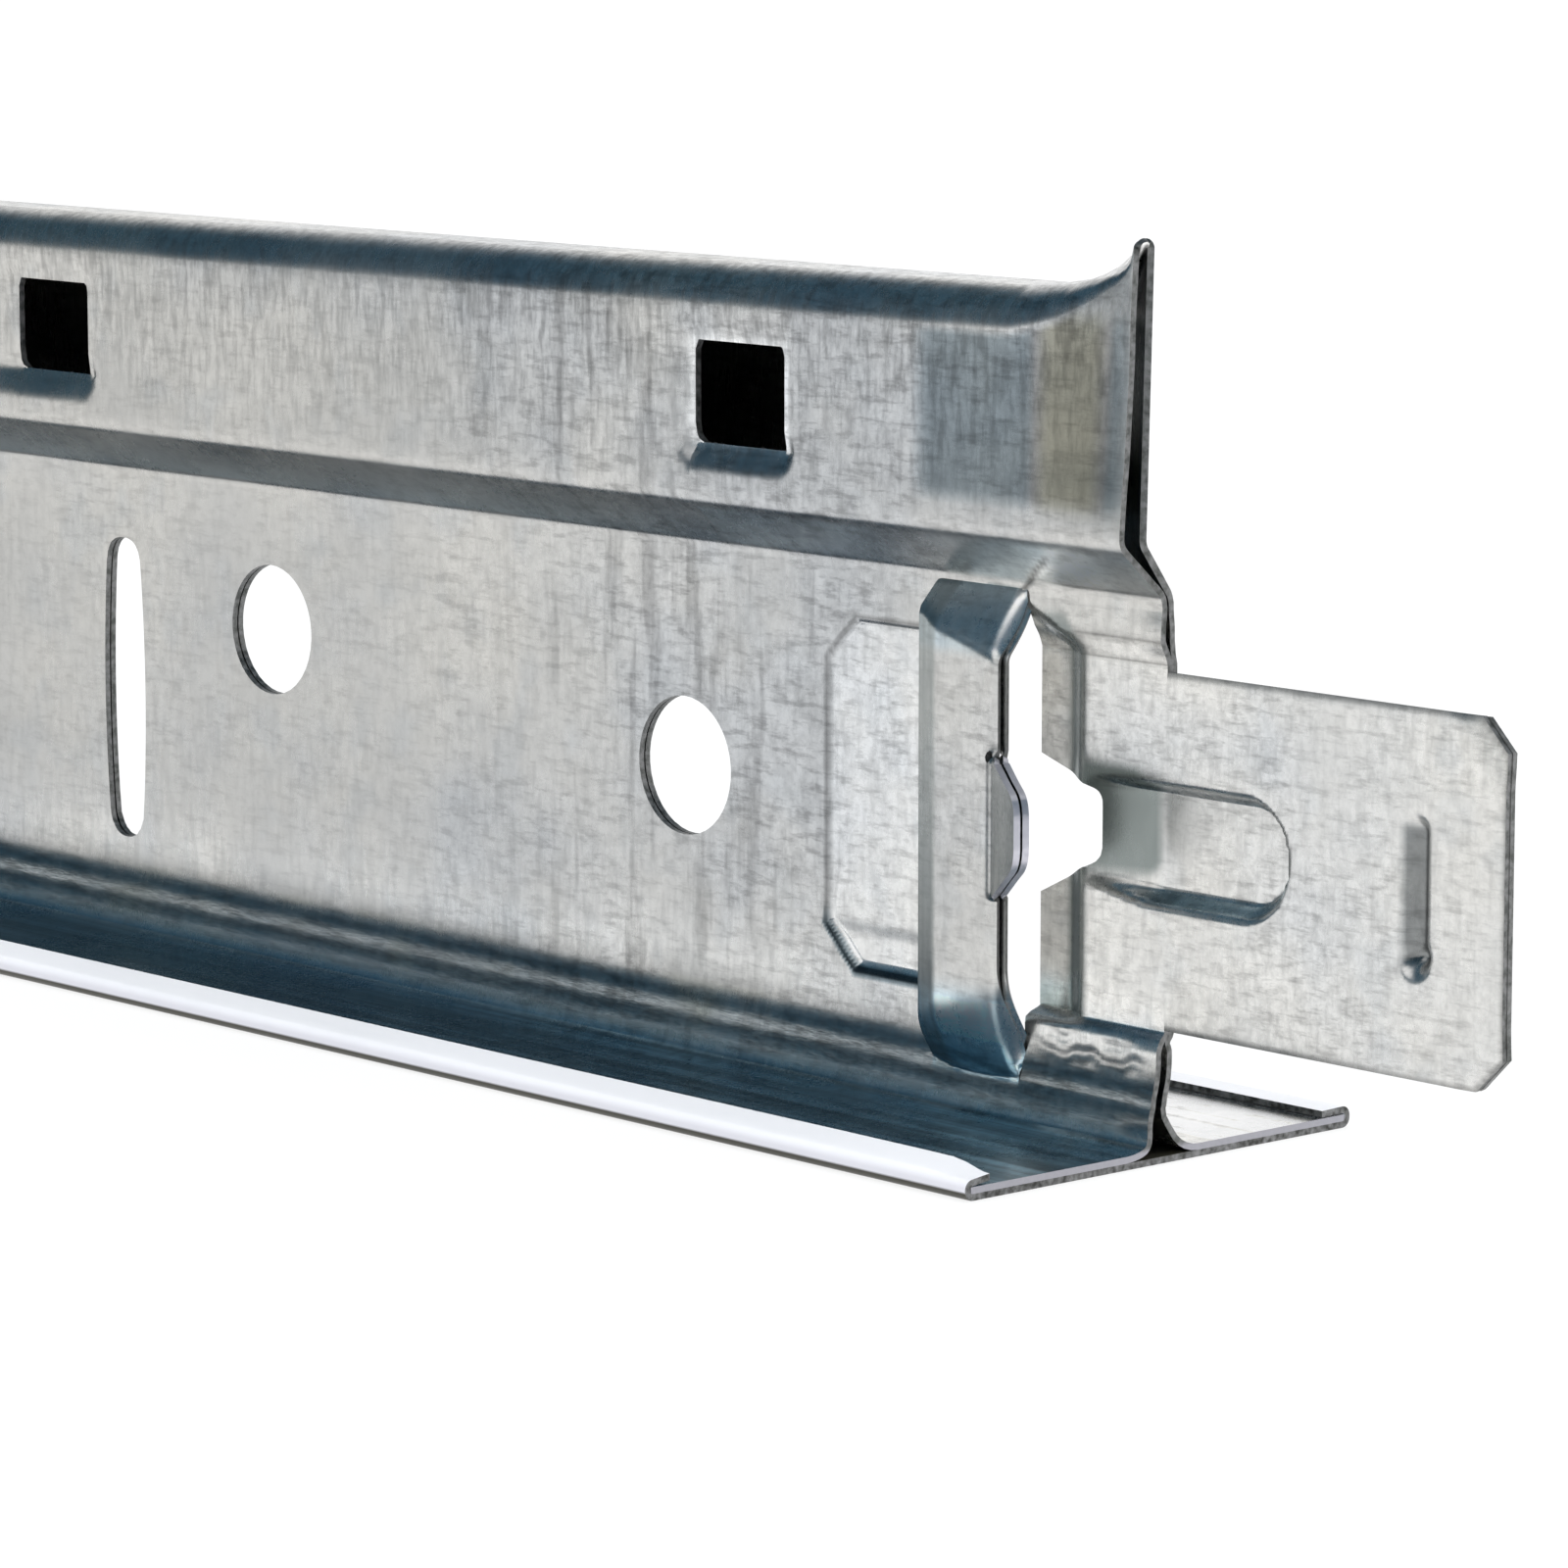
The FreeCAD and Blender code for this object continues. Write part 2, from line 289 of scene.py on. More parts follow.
def steps(count):
    """Shares 0 to just under 1 of a run or bend that is cut into so many equal steps."""
    return np.arange(count) / count


# Where the web and the bulb's walls are straight, between the bends beside them
slope_turn = math.atan2(bulb_line - web_line, bulb_foot - shoulder_foot)
web_low = flange_line + flange_bend
web_high = shoulder_foot - shoulder_bend * math.tan(slope_turn / 2)
wall_low = bulb_foot + shoulder_bend * math.tan(slope_turn / 2)
wall_high = bulb_top - bulb_bend


def section_rows(web_lines, wall_lines, bends, slope):
    """Row shares and row zones of the whole section. web_lines and wall_lines are the
    heights of the rows on the webs and the bulb's walls; bends is the count of rows in the
    near foot's bend and slope that on the near shoulder."""
    web = (np.array(web_lines) - web_low) / (web_high - web_low)
    wall = (np.array(wall_lines) - wall_low) / (wall_high - wall_low)
    small, top = steps(max(2, bends // 4)), steps(max(4, bends // 2))
    down = 1 - web[::-1]
    shares = [steps(2), steps(bends), web[:-1], small, steps(slope), small, wall[:-1],
              top, steps(2), steps(2), steps(2), top,
              (1 - wall[::-1])[:-1], small, steps(2), small, down[:-1], top,
              np.linspace(0, 1, 3)]
    zones = np.concatenate([np.full(len(s), i) for i, s in enumerate(shares)])
    return shares, zones


def section_points(x, shares):
    """Centre surface of the plain section: one point for each column and row."""
    yz = folded(section_corners(x), section_radii(x), shares)
    columns = np.broadcast_to(x[:, None, None], yz.shape[:2] + (1,))
    return np.concatenate([columns, yz], axis=2)


def grid_mesh(points, marks, cut=None):
    """Two triangles for each cell of a grid of points, trimmed along the line where the
    field cut is zero. marks are further numbers kept at each point."""
    columns, rows = points.shape[:2]
    index = np.arange(columns * rows).reshape(columns, rows)
    a, b = index[:-1, :-1].ravel(), index[1:, :-1].ravel()
    c, d = index[1:, 1:].ravel(), index[:-1, 1:].ravel()
    triangles = np.concatenate([np.stack([a, b, c], 1), np.stack([a, c, d], 1)])
    data = np.concatenate([points.reshape(-1, 3), marks.reshape(columns * rows, -1)], axis=1)
    if cut is None:
        return data, triangles
    return trimmed(data, triangles, cut.ravel())


def trimmed(data, triangles, field):
    """The part of a triangle mesh where the field is above zero. Each edge that crosses
    the line gets one point, at the share field_a / (field_a - field_b) of the way."""
    field = np.where(np.abs(field) < 1e-4, 1e-4, field)
    kept = field > 0
    count = kept[triangles].sum(axis=1)
    crossing = []
    for wanted in (1, 2):
        some = triangles[count == wanted]
        odd = np.argmax(kept[some] == (wanted == 1), axis=1)
        order = (odd[:, None] + np.arange(3)) % 3
        crossing.append(np.take_along_axis(some, order, axis=1))
    pairs = np.concatenate([c[:, [0, k]] for c in crossing for k in (1, 2)])
    pairs = np.sort(pairs, axis=1)
    unique, place = np.unique(pairs, axis=0, return_inverse=True)
    place = place.ravel() + len(data)
    low, high = unique[:, 0], unique[:, 1]
    share = (field[low] / (field[low] - field[high]))[:, None]
    fresh = data[low] * (1 - share) + data[high] * share
    n1, n2 = len(crossing[0]), len(crossing[1])
    ab, ac = place[:n1], place[n1:2 * n1]
    tips = np.stack([crossing[0][:, 0], ab, ac], axis=1)
    ab, ac = place[2 * n1:2 * n1 + n2], place[2 * n1 + n2:]
    b, c = crossing[1][:, 1], crossing[1][:, 2]
    stumps = np.concatenate([np.stack([ab, b, c], axis=1), np.stack([ab, c, ac], axis=1)])
    return np.concatenate([data, fresh]), np.concatenate([triangles[count == 3], tips, stumps])


def welded(meshes):
    """Several meshes as one. Points that round to the same two-thousandth of a millimetre
    are made one point."""
    data = np.concatenate([m[0] for m in meshes])
    offsets = np.cumsum([0] + [len(m[0]) for m in meshes[:-1]])
    triangles = np.concatenate([m[1] + o for m, o in zip(meshes, offsets)])
    used = np.unique(triangles)
    keys = np.round(data[used, :3] * 2000).astype(np.int64)
    unique, first, place = np.unique(keys, axis=0, return_index=True, return_inverse=True)
    renumber = np.zeros(len(data), np.int64)
    renumber[used] = place.ravel()
    triangles = renumber[triangles]
    real = ((triangles[:, 0] != triangles[:, 1]) & (triangles[:, 1] != triangles[:, 2])
            & (triangles[:, 2] != triangles[:, 0]))
    return data[used][first], triangles[real]


def point_normals(points, triangles):
    """Normal of each point: the sum of the area normals of its triangles, made unit."""
    a, b, c = (points[triangles[:, i]] for i in range(3))
    area = np.cross(b - a, c - a)
    total = np.zeros_like(points)
    for i in range(3):
        np.add.at(total, triangles[:, i], area)
    return total / np.maximum(np.linalg.norm(total, axis=1, keepdims=True), 1e-12)


def thickened(data, triangles, thickness, open_at=None):
    """A sheet of real thickness round a centre surface: both faces lie half the thickness
    along the normals, and a wall closes each free edge. Edges for which open_at holds
    meet another piece and stay open. Returns the points, triangles and a wall flag."""
    points, marks = data[:, :3], data[:, 3:]
    offset = point_normals(points, triangles) * (thickness / 2)
    count = len(points)
    edges = np.concatenate([triangles[:, [0, 1]], triangles[:, [1, 2]], triangles[:, [2, 0]]])
    forward = edges[:, 0] * count + edges[:, 1]
    backward = edges[:, 1] * count + edges[:, 0]
    free = edges[~np.isin(forward, backward)]
    if open_at is not None:
        free = free[~(open_at(points[free[:, 0]]) & open_at(points[free[:, 1]]))]
    a, b = free[:, 0], free[:, 1]
    walls = np.concatenate([np.stack([b, a, a + count], 1),
                            np.stack([b, a + count, b + count], 1)])
    both = np.concatenate([points + offset, points - offset])
    faces = np.concatenate([triangles, triangles[:, ::-1] + count, walls])
    is_wall = np.concatenate([np.zeros(2 * len(triangles), bool), np.ones(len(walls), bool)])
    return both, np.concatenate([marks, marks]), faces, is_wall


def placed_end(sheet, side):
    """A splice end moved from x = 0 to its end of the runner; -1 turns it about Z."""
    points, marks, faces, is_wall = sheet
    turned = points * np.array([side, side, 1.0])
    return turned + np.array([side * half_length, 0, 0]), marks, faces, is_wall


def make_piece(name, sheet, materials, stands_for):
    """One mesh object from a sheet's points, faces and marks, with sharp folds kept sharp."""
    points, marks, faces, is_wall = sheet
    mesh = bpy.data.meshes.new(name)
    mesh.vertices.add(len(points))
    mesh.vertices.foreach_set("co", (points * 0.001).astype(np.float32).ravel())
    mesh.loops.add(faces.size)
    mesh.loops.foreach_set("vertex_index", faces.astype(np.int32).ravel())
    mesh.polygons.add(len(faces))
    mesh.polygons.foreach_set("loop_start", np.arange(0, faces.size, 3, dtype=np.int32))
    for material in materials:
        mesh.materials.append(material)
    mesh.polygons.foreach_set("material_index", is_wall.astype(np.int32))
    mesh.polygons.foreach_set("use_smooth", np.ones(len(faces), bool))
    mesh.update(calc_edges=True)
    # the three marks: painted shade as dark grey-green, painted reflection colour, and painted
    # light and shade as a factor on the brightness
    for column, label in enumerate(("dull_and_shade", "tint", "shade")):
        layer = mesh.attributes.new(label, "FLOAT", "POINT")
        layer.data.foreach_set("value", marks[:, column].astype(np.float32))
    mesh.set_sharp_from_angle(angle=math.radians(sharp_fold_angle))
    piece = bpy.data.objects.new(name, mesh)
    bpy.context.scene.collection.objects.link(piece)
    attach(piece, "root")
    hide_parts(stands_for)
    return piece


# Fields that say what is cut away: a field is the distance outside an opening

def round_hole(x, z, centre_x, centre_z, radius):
    """Distance outside a circle."""
    return np.hypot(x - centre_x, z - centre_z) - radius


def box_hole(x, z, centre_x, centre_z, half_x, half_z, corner):
    """Distance outside a rounded rectangle."""
    dx = np.abs(x - centre_x) - half_x + corner
    dz = np.abs(z - centre_z) - half_z + corner
    outside = np.hypot(np.maximum(dx, 0), np.maximum(dz, 0))
    return outside + np.minimum(np.maximum(dx, dz), 0) - corner


def bowed_slot(x, z, centre_x):
    """Distance outside a slot whose long sides bow out in the middle and whose ends are
    rounded."""
    rise = np.clip(np.abs(z - slot_middle) / (slot_height / 2), 0, 1)
    half = slot_width / 2 - 0.15 + (slot_bow + 0.12) * (1 - rise ** 2)
    return soft_max(np.abs(x - centre_x) - half, np.abs(z - slot_middle) - slot_height / 2, 1.3)


def places_from_ends(from_end, pitch):
    """Places repeated from each end of the runner towards its middle."""
    distances = np.arange(from_end, half_length, pitch)
    return np.concatenate([half_length - distances, distances - half_length])


def square_hole(x, z, centre_x):
    """Distance outside one of the holes in the bulb's wall."""
    return box_hole(x, z, centre_x, bulb_hole_middle, bulb_hole_width / 2,
                    bulb_hole_height / 2, bulb_hole_corner)


def bulb_hole_places():
    """Places of the square holes, evenly spaced between the two that lie nearest the ends."""
    span = runner_length - 2 * bulb_hole_from_end
    count = round(span / bulb_hole_pitch)
    return np.linspace(-span / 2, span / 2, count + 1)


def perforation_field(points, zones, low, high, bulb_zone):
    """Distance outside every opening of the runner whose middle lies between low and high."""
    x, z = points[:, :, 0], points[:, :, 2]
    web = np.isin(zones, (NEAR_WEB, FAR_WEB))[None, :]
    wall = (zones == bulb_zone)[None, :]
    field = np.full(x.shape, 9.0)
    for centre in places_from_ends(slot_from_end, slot_pitch):
        if low < centre < high:
            field = np.where(web, np.minimum(field, bowed_slot(x, z, centre)), field)
    for from_end, height in hanger_holes:
        for centre in places_from_ends(from_end, slot_pitch):
            if low < centre < high:
                hole = round_hole(x, z, centre, height, hanger_radius)
                field = np.where(web, np.minimum(field, hole), field)
    for centre in bulb_hole_places():
        if low < centre < high:
            field = np.where(wall, np.minimum(field, square_hole(x, z, centre)), field)
    return field


def rim_dent(x, z):
    """How far the wall is pushed in round each square hole by the punch: it falls away
    with the distance from the hole, and more of it lies left of the hole and below it."""
    dent = np.zeros(np.broadcast(x, z).shape)
    for centre in bulb_hole_places():
        near = np.abs(x - centre) < 9
        if near.any():
            away = square_hole(x, z, centre)
            below = smooth((bulb_hole_middle - 1.6 - z) / 0.9)
            left = smooth((centre - 2.4 - x) / 1.2)
            side = 0.16 + 0.30 * below + 0.14 * left
            dent = dent + side * smooth((1.05 - np.maximum(away, 0)) / 0.95)
    return dent


def roll_marks(z):
    """Offset of the web's foot from its plane: it leans out below a soft crease and turns
    sharply back into the flange."""
    return np.interp(z, foot_heights, foot_offsets)


def painted_foot_shade(z):
    """Painted light and shade by height on the near flange, the foot and the webs: darker on
    the near flange and in bands below the foot's crease, and lighter just above it and on
    the lower web."""
    return np.interp(z, foot_shade_heights, painted_foot_shades)


def foot_shift(zones, x, z):
    """Shift of the two bends at the web's foot: the near one has the whole profile, the far
    one only its upper part, and both are sprung apart at the cut end."""
    opening = end_opening(x, z)
    near = np.where(zones == NEAR_FOOT, roll_marks(z) - opening, 0)
    return near + np.where(zones == FAR_FOOT, roll_marks(z) * smooth((z - 1.1) / 1.3) + opening, 0)


def seat_depth(x, z):
    """Share of the seat's depth: an eight-sided panel, open towards the belt, whose edge
    is a narrow step. Along the bottom it is deeper, steep outside and hollow inside."""
    edge = seat_edge(x, z)
    low = smooth((seat_bottom + 2.6 - z) / 1.2)
    hollow = 1 - (1 - np.clip(edge / 0.42, 0, 1)) ** 2
    return (smooth(edge / 0.30) * (1 - low) + hollow * low) * (0.62 + 0.40 * low)


def seat_edge(x, z):
    """Distance inside the seat's left, upper and chamfered edges."""
    root2 = math.sqrt(2)
    left, top, bottom = x + seat_left, seat_top - z, z - seat_bottom
    edge = np.minimum(np.minimum(left, top), bottom)
    edge = np.minimum(edge, (left + top - seat_corner) / root2)
    return np.minimum(edge, (left + bottom - seat_corner) / root2)


def ramp_starts(x, z):
    """Masks of the belt's ramps: both of them, and the lower one by itself."""
    below = smooth((belt_bottom + 3.4 - z) / 1.2)
    return np.maximum(smooth((z - belt_top + belt_top_ramp + 0.3) / 0.8), below), below


def belt_bulge(x, z):
    """Depth of the belt: a front that deepens from the catching edge to the free edge,
    with a ramp above and below, rounded into the front by soft minima. The free edge
    flares out on the ramps."""
    stations = [-belt_left, -belt_left + lip_width, -belt_right]
    depth = np.interp(x, stations, [edge_depth, lip_depth, belt_depth])
    top = np.interp(x, stations, [edge_top_ramp, lip_top_ramp, belt_top_ramp])
    bottom = np.interp(x, stations, [edge_bottom_ramp, lip_bottom_ramp, belt_bottom_ramp])
    share = (x + belt_left) / (belt_left - belt_right)
    foot = belt_bottom - 0.75 * np.sin(math.pi / 2 * np.clip(1.5 * share + 0.3, 0, 1))
    foot = foot + 0.15 * smooth((share - 0.65) / 0.35)
    down = (belt_top - z) / top
    up = (z - foot) / bottom
    rise = soft_min(soft_min(down, 1.0, 0.10), up, 0.02)
    rise = np.minimum(rise, soft_min(up, 1.0, 0.55))
    rise = np.maximum(rise, 0)
    ramp = np.clip(4 * rise * (1 - rise), 0, 1)
    width = 0.30 + 0.40 * ramp
    low = smooth((belt_bottom + 6 - z) / 2)
    amount = 0.10 + (0.30 + 0.25 * low) * ramp
    rolled = amount * np.clip((x + belt_right + width) / width, 0, 1) ** 2
    return depth * rise - rolled * np.clip(6 * rise, 0, 1) - tab_lift(x, z)


def tab_lift(x, z):
    """Where the tab's root bends out of the belt: the offset -y of a line whose lean
    grows over the root's length to the tab's angle, between the root's two cut sides."""
    s = np.linspace(0, tab_root, 21)
    lean = math.radians(tab_angle) * smooth(s / tab_root)
    out = np.concatenate([[0], np.cumsum(np.tan((lean[1:] + lean[:-1]) / 2) * np.diff(s))])
    inside = np.minimum(z - tab_mouth[0], tab_mouth[1] - z)
    return -np.interp(x + belt_right + tab_root, s, out) * smooth(inside / 0.25 + 0.5)


def jog(z):
    """1 on the plate that carries the tongue, 0 on the web above and below it."""
    upper = np.clip((jog_top[1] - z) / (jog_top[1] - jog_top[0]), 0, 1)
    return upper * smooth((z - jog_bottom[0]) / (jog_bottom[1] - jog_bottom[0]))


def root_setback(x, z):
    """How far the strip beside the belt is set back, with a fan-shaped fold at its top."""
    fan = np.clip((z - root_fan) / 2.0, 0, 1)
    border = root_ramp[1] - 3.3 * fan
    side = smooth((border - x) / (root_ramp[1] - root_ramp[0]))
    strip = 0.1 * np.clip((root_ramp[0] - x) / 1.9, 0, 1)
    height = 1 - smooth((z - root_fan) / 2.1)
    foot = smooth((z - jog_bottom[0]) / 0.45)
    return (root_offset + strip) * side * height * foot


def stop_away(x, z):
    """Distance from the stop's middle line, which ends one radius short of its tip."""
    return np.hypot(np.maximum(x - (stop_end - stop_radius), 0), z - stop_middle)


def cup(x, z):
    """The stop and the detent pressed into the tongue. The stop is a slot-shaped hollow
    that ramps in from the notch; its wall is a sloping band."""
    narrowed = 0.55 * np.clip((-1.2 - x) / stop_ramp, 0, 1) * smooth((stop_middle - z) / 0.8)
    inward = (stop_radius + stop_wall / 2 - narrowed - stop_away(x, z)) / stop_wall
    ramp = np.maximum(soft_min((x - stop_start) / stop_ramp, 1.0, 0.12), 0)
    stop = (1 - (1 - np.clip(inward, 0, 1)) ** 2) * ramp * stop_depth
    half = (detent_span[1] - detent_span[0]) / 2
    centre = (detent_span[1] + detent_span[0]) / 2
    low, high = detent_height[0] + half, detent_height[1] - 0.3
    up = np.clip(z, low, high)
    groove = smooth((half + 0.25 - np.hypot(x - centre, z - up)) / 0.85)
    bowl = smooth((1.08 - np.hypot(x - centre - 0.05, z - low - 0.15)) / 0.95)
    return stop + detent_depth * soft_max(groove, 1.6 * bowl, 0.25)


def tongue_inside(x, z):
    """Distance inside the tongue's free edges."""
    inside = np.minimum(np.minimum(tongue_length - x, tongue_top - z), z - tongue_bottom)
    return np.minimum(inside, tongue_field(x, z))


def tongue_spring(x, z):
    """Slight bends of the tongue's blade: both corners lie back a little, and every edge
    is rolled over by the shears."""
    top = smooth((x - 17.6 + z - 20.2) / 1.8)
    bottom = smooth((x - 18.0 + 7.2 - z) / 1.4)
    rolled = 0.03 * np.clip(1 - tongue_inside(x, z) / 0.45, 0, 1.2) ** 2
    return 0.08 * top + 0.06 * bottom + rolled


def end_opening(x, z):
    """How far each skin springs away from the other where the end was cut."""
    below = smooth((5.4 - z) / 0.5) * smooth((z - 0.9) / 1.2)
    above = 0.6 * smooth((z - root_fan) / 0.5) * smooth((web_high - z) / 1.2)
    return skin_opening * (below + above) * smooth((x + 2.6) / 2.6)


def ripple(x, z):
    """Small waves that the press leaves in the strip below the tongue's root: nearly level
    lines whose height wanders along x."""
    wander = 1.4 * np.sin(1.9 * x + 0.6) + 0.5 * np.sin(5.1 * x)
    return 0.028 * np.sin(6.5 * z + wander) * band(x, -7.4, -0.9, 1.4) * band(z, 3.75, 5.0, 0.6)


def end_relief(x, z, part):
    """Shift of the near and far web skins from their plane, for one part of the end:
    the seat side, the belt, the root or the tongue."""
    marks = roll_marks(z)
    if part == "seat":
        share = seat_depth(x, z)
        return seat_near * share + marks, seat_far * share + marks
    if part == "belt":
        bulge = belt_bulge(x, z)
        lift = belt_gap * bulge / belt_depth
        return marks - bulge, marks - bulge + lift
    if part == "root":
        plate = jog(z)
        both = root_setback(x, z) + cup(x, z) + marks * (1 - plate) + ripple(x, z)
        spread = end_opening(x, z) * (1 - plate)
        return seat_near * plate + both - spread, seat_far * plate + both + spread
    both = cup(x, z) + tongue_spring(x, z)
    return seat_near + both, seat_far + both


def tab_sides(share):
    """Heights of the lead-in tab's two sides at a share of its length."""
    low = tab_mouth[0] + (tab_tip[0] - tab_mouth[0]) * share
    high = tab_mouth[1] + (tab_tip[1] - tab_mouth[1]) * share
    return low, high


def lance_field(x, z):
    """Distance outside the gap that the lead-in tab was cut from."""
    low, high = tab_sides((x + belt_right) / tab_length)
    slope_low = math.cos(math.atan((tab_tip[0] - tab_mouth[0]) / tab_length))
    slope_high = math.cos(math.atan((tab_tip[1] - tab_mouth[1]) / tab_length))
    inside = soft_min((z - low) * slope_low, (high - z) * slope_high, 0.3)
    return -soft_min(inside, tab_length - belt_right - x, 0.5)


def tongue_field(x, z):
    """Distance inside the tongue's outline at its two cut corners."""
    root2 = math.sqrt(2)
    right = tongue_length - x
    return np.minimum(right + tongue_top - z - tongue_corner,
                      right + z - tongue_bottom - tongue_corner) / root2


def band(value, low, high, edge):
    """1 between low and high with soft edges of the given width, 0 outside."""
    return smooth((value - low) / edge + 0.5) * smooth((high - value) / edge + 0.5)


def section_marks(x, z, zones, holed):
    """Marks of the plain section and of the bulb's end, most of them painted light and shade.
    holed is the zone of the wall with the square holes."""
    web = np.isin(zones, (NEAR_WEB, FAR_WEB))
    wall = np.isin(zones, (NEAR_WALL, FAR_WALL))
    low = (zones <= NEAR_FOOT) | web
    slope = zones == NEAR_SLOPE
    # painted highlight: the near slope lighter in two soft bands towards the end
    painted_glint = 0.16 * band(x, -12.0, -8.5, 2.0) + 0.52 * band(x, -7.0, -2.4, 2.2)
    # painted shade on the bulb's walls, painted highlights on its top and on the far flange, the
    # slope painted lighter, and the painted light and shade by height low down
    shade = np.where(wall, 0.96, np.ones(x.shape))
    shade = np.where(np.isin(zones, (NEAR_TOP, RIDGE, FAR_TOP, FAR_FLANGE)), 1.5, shade)
    shade = np.where(slope, 1.09 + painted_glint, shade)
    shade = np.where(low, painted_foot_shade(z), shade)
    # painted reflection colour: bluish on the slope, on the lower web and the foot, bluer on the
    # near flange
    tint = np.where(slope, -0.45 * (1 - 0.85 * band(x, -16.0, 0.5, 4.0)), np.zeros(x.shape))
    tint = np.where(low, -0.35 * smooth((3.9 - z) / 0.6), tint)
    tint = np.where(zones <= NEAR_FOOT, tint - 0.65 * smooth((1.05 - z) / 0.3), tint)
    # painted shade: a dark curved line along a crease in the shoulder above the belt
    share = np.clip((z - 24.4) / 1.9, 0, 1)
    crease = np.abs(x + 8.7 - 3.0 * share + 1.6 * share * (1 - share))
    crease = smooth((0.38 - crease) / 0.34) * band(z, 24.3, 26.4, 0.3)
    shade = shade * (1 - 0.72 * crease * (zones <= NEAR_SLOPE))
    # painted highlight: a bright ring round the square hole nearest the end
    rim_shading = band(square_hole(x, z, -bulb_hole_from_end), -0.4, 0.30, 0.20)
    shade = np.where(zones == holed, shade * (1 + 0.55 * rim_shading), shade)
    # painted reflection: the bulb's wall darker and bluish near the end, yellowish in a band just
    # before the end plane
    painted_reflection_patch = band(x, -12.6, -0.2, 1.6) * band(z, 28.7, 37.0, 1.0)
    warm = band(x, -5.2, -1.4, 1.6)
    shade = np.where(wall, shade * (1 - (0.50 - 0.06 * warm) * painted_reflection_patch), shade)
    tint = np.where(wall, painted_reflection_patch * (1.4 * warm - 0.5), tint)
    return np.zeros(x.shape), tint, shade


def seat_marks(x, z, dull_and_shade, tint, shade):
    """The seat painted lighter inside its edge; painted shade as a dark line along the edge,
    heavier and bluish along the lower step; and a painted highlight just inside that step.
    """
    edge = seat_edge(x, z)
    low = smooth((seat_bottom + 3.0 - z) / 1.5)
    # painted shade: a dark line along the seat's edge, heavier and bluish along the lower step
    line = band(edge, -0.10 - 0.16 * low, 0.10 - 0.02 * low, 0.10)
    shade = (shade + 0.34 * smooth(edge / 0.4)) * (1 - (0.5 + 0.38 * low) * line)
    # painted highlight just inside the lower step
    shade = shade * (1 + 0.35 * low * band(edge, 0.16, 0.42, 0.1))
    return dull_and_shade, tint - 0.9 * low * line, shade


def belt_marks(x, z, dull_and_shade, tint, shade):
    """The belt's catching edge dark grey-green in streaks, as painted shade; painted bluish
    reflections on the ramps and the lower part; the lower ramp painted lighter; and a painted
    highlight along the free edge on the ramps.
    """
    # painted shade: the catching edge dark grey-green in streaks
    lip = smooth((-belt_left + lip_width + 0.15 - x) / 0.3)
    streak = 0.5 + 0.5 * np.sin(11.0 * x + 0.6 * np.sin(0.9 * z))
    ramps, below = ramp_starts(x, z)
    # painted highlight along the free edge on the ramps
    painted_highlight = band(x, -belt_right - 0.55, -belt_right - 0.06, 0.2) * ramps
    # painted bluish reflection low down and on the ramps; the lower ramp painted lighter
    tint = tint - 0.45 * smooth((belt_bottom + 4.0 - z) / 1.5) - 0.45 * ramps * (1 - painted_highlight)
    shade = shade * (1 + 0.08 * ramps + 0.44 * below) * (1 + 0.7 * painted_highlight)
    return np.maximum(dull_and_shade, (0.5 + 0.2 * streak) * lip), tint, shade


def root_marks(x, z, dull_and_shade, tint, shade):
    """Painted shade, dark grey-green, on the stretched ramp beside the plate and low on the strip
    beside the belt; the strip and the plate painted lighter; the plate's ledge painted as a dark
    bluish reflection; and two dark painted crease lines at the plate's top, with a painted light
    band between them.
    """
    fan = np.clip((z - root_fan) / 2.0, 0, 1)
    strip = smooth((root_ramp[0] + 0.2 - x) / 0.5) * smooth((24.2 - z) / 0.6)
    ramp = band(x + 1.5 * fan, root_ramp[0], root_ramp[1], 0.5)
    high = smooth((z - 5.3) / 0.4) * smooth((24.0 - z) / 0.6)
    # painted shade on the ramp and low on the strip
    dull_and_shade = np.maximum(dull_and_shade, 0.85 * ramp * high)
    dull_and_shade = np.maximum(dull_and_shade, 0.6 * strip * smooth((7.4 - z) / 1.6) * high)
    # painted shade in the two creases at the plate's top
    lines = band(z, 21.92, 22.08, 0.14) + band(z, 22.92, 23.08, 0.14)
    past = smooth((x - root_ramp[1]) / 0.3)
    plate = band(z, jog_bottom[1], jog_top[0], 0.2) * past
    # painted reflection: the ledge dark and bluish; the strip and the plate painted lighter
    ledge_reflection = band(z, jog_bottom[0], jog_bottom[1] + 0.1, 0.15) * past
    shade = shade * (1 + 0.18 * strip * high) * (1 + 0.20 * plate) * (1 - 0.45 * ledge_reflection)
    shade = shade * (1 - 0.5 * lines * smooth((x + 7.4) / 0.6))
    # painted light band between the two crease lines
    return dull_and_shade, tint - 0.8 * ledge_reflection, shade + 0.2 * band(z, 22.1, 22.9, 0.2) * past


def stop_marks(x, z, dull_and_shade, tint, shade):
    """The patch that the stop's ramp is stretched to, painted dark grey-green as shade, and the
    stop's lower wall painted dark and bluish as a reflection.
    """
    # painted shade on the patch where the stop's ramp is stretched
    dull_shaded_patch = box_hole(x, z, -3.5, 14.85, 2.3, 2.45, 0.9)
    # painted reflection: the stop's lower wall dark and bluish
    wall = band(stop_away(x, z), stop_radius - 0.15, stop_radius + stop_wall / 2, 0.12)
    wall = wall * smooth((stop_middle - z) / 0.6) * smooth((x + 2.2) / 1.5)
    dull_and_shade = np.maximum(dull_and_shade, smooth((0.25 - dull_shaded_patch) / 0.55))
    return dull_and_shade, tint - 0.9 * wall, shade * (1 - 0.40 * wall)


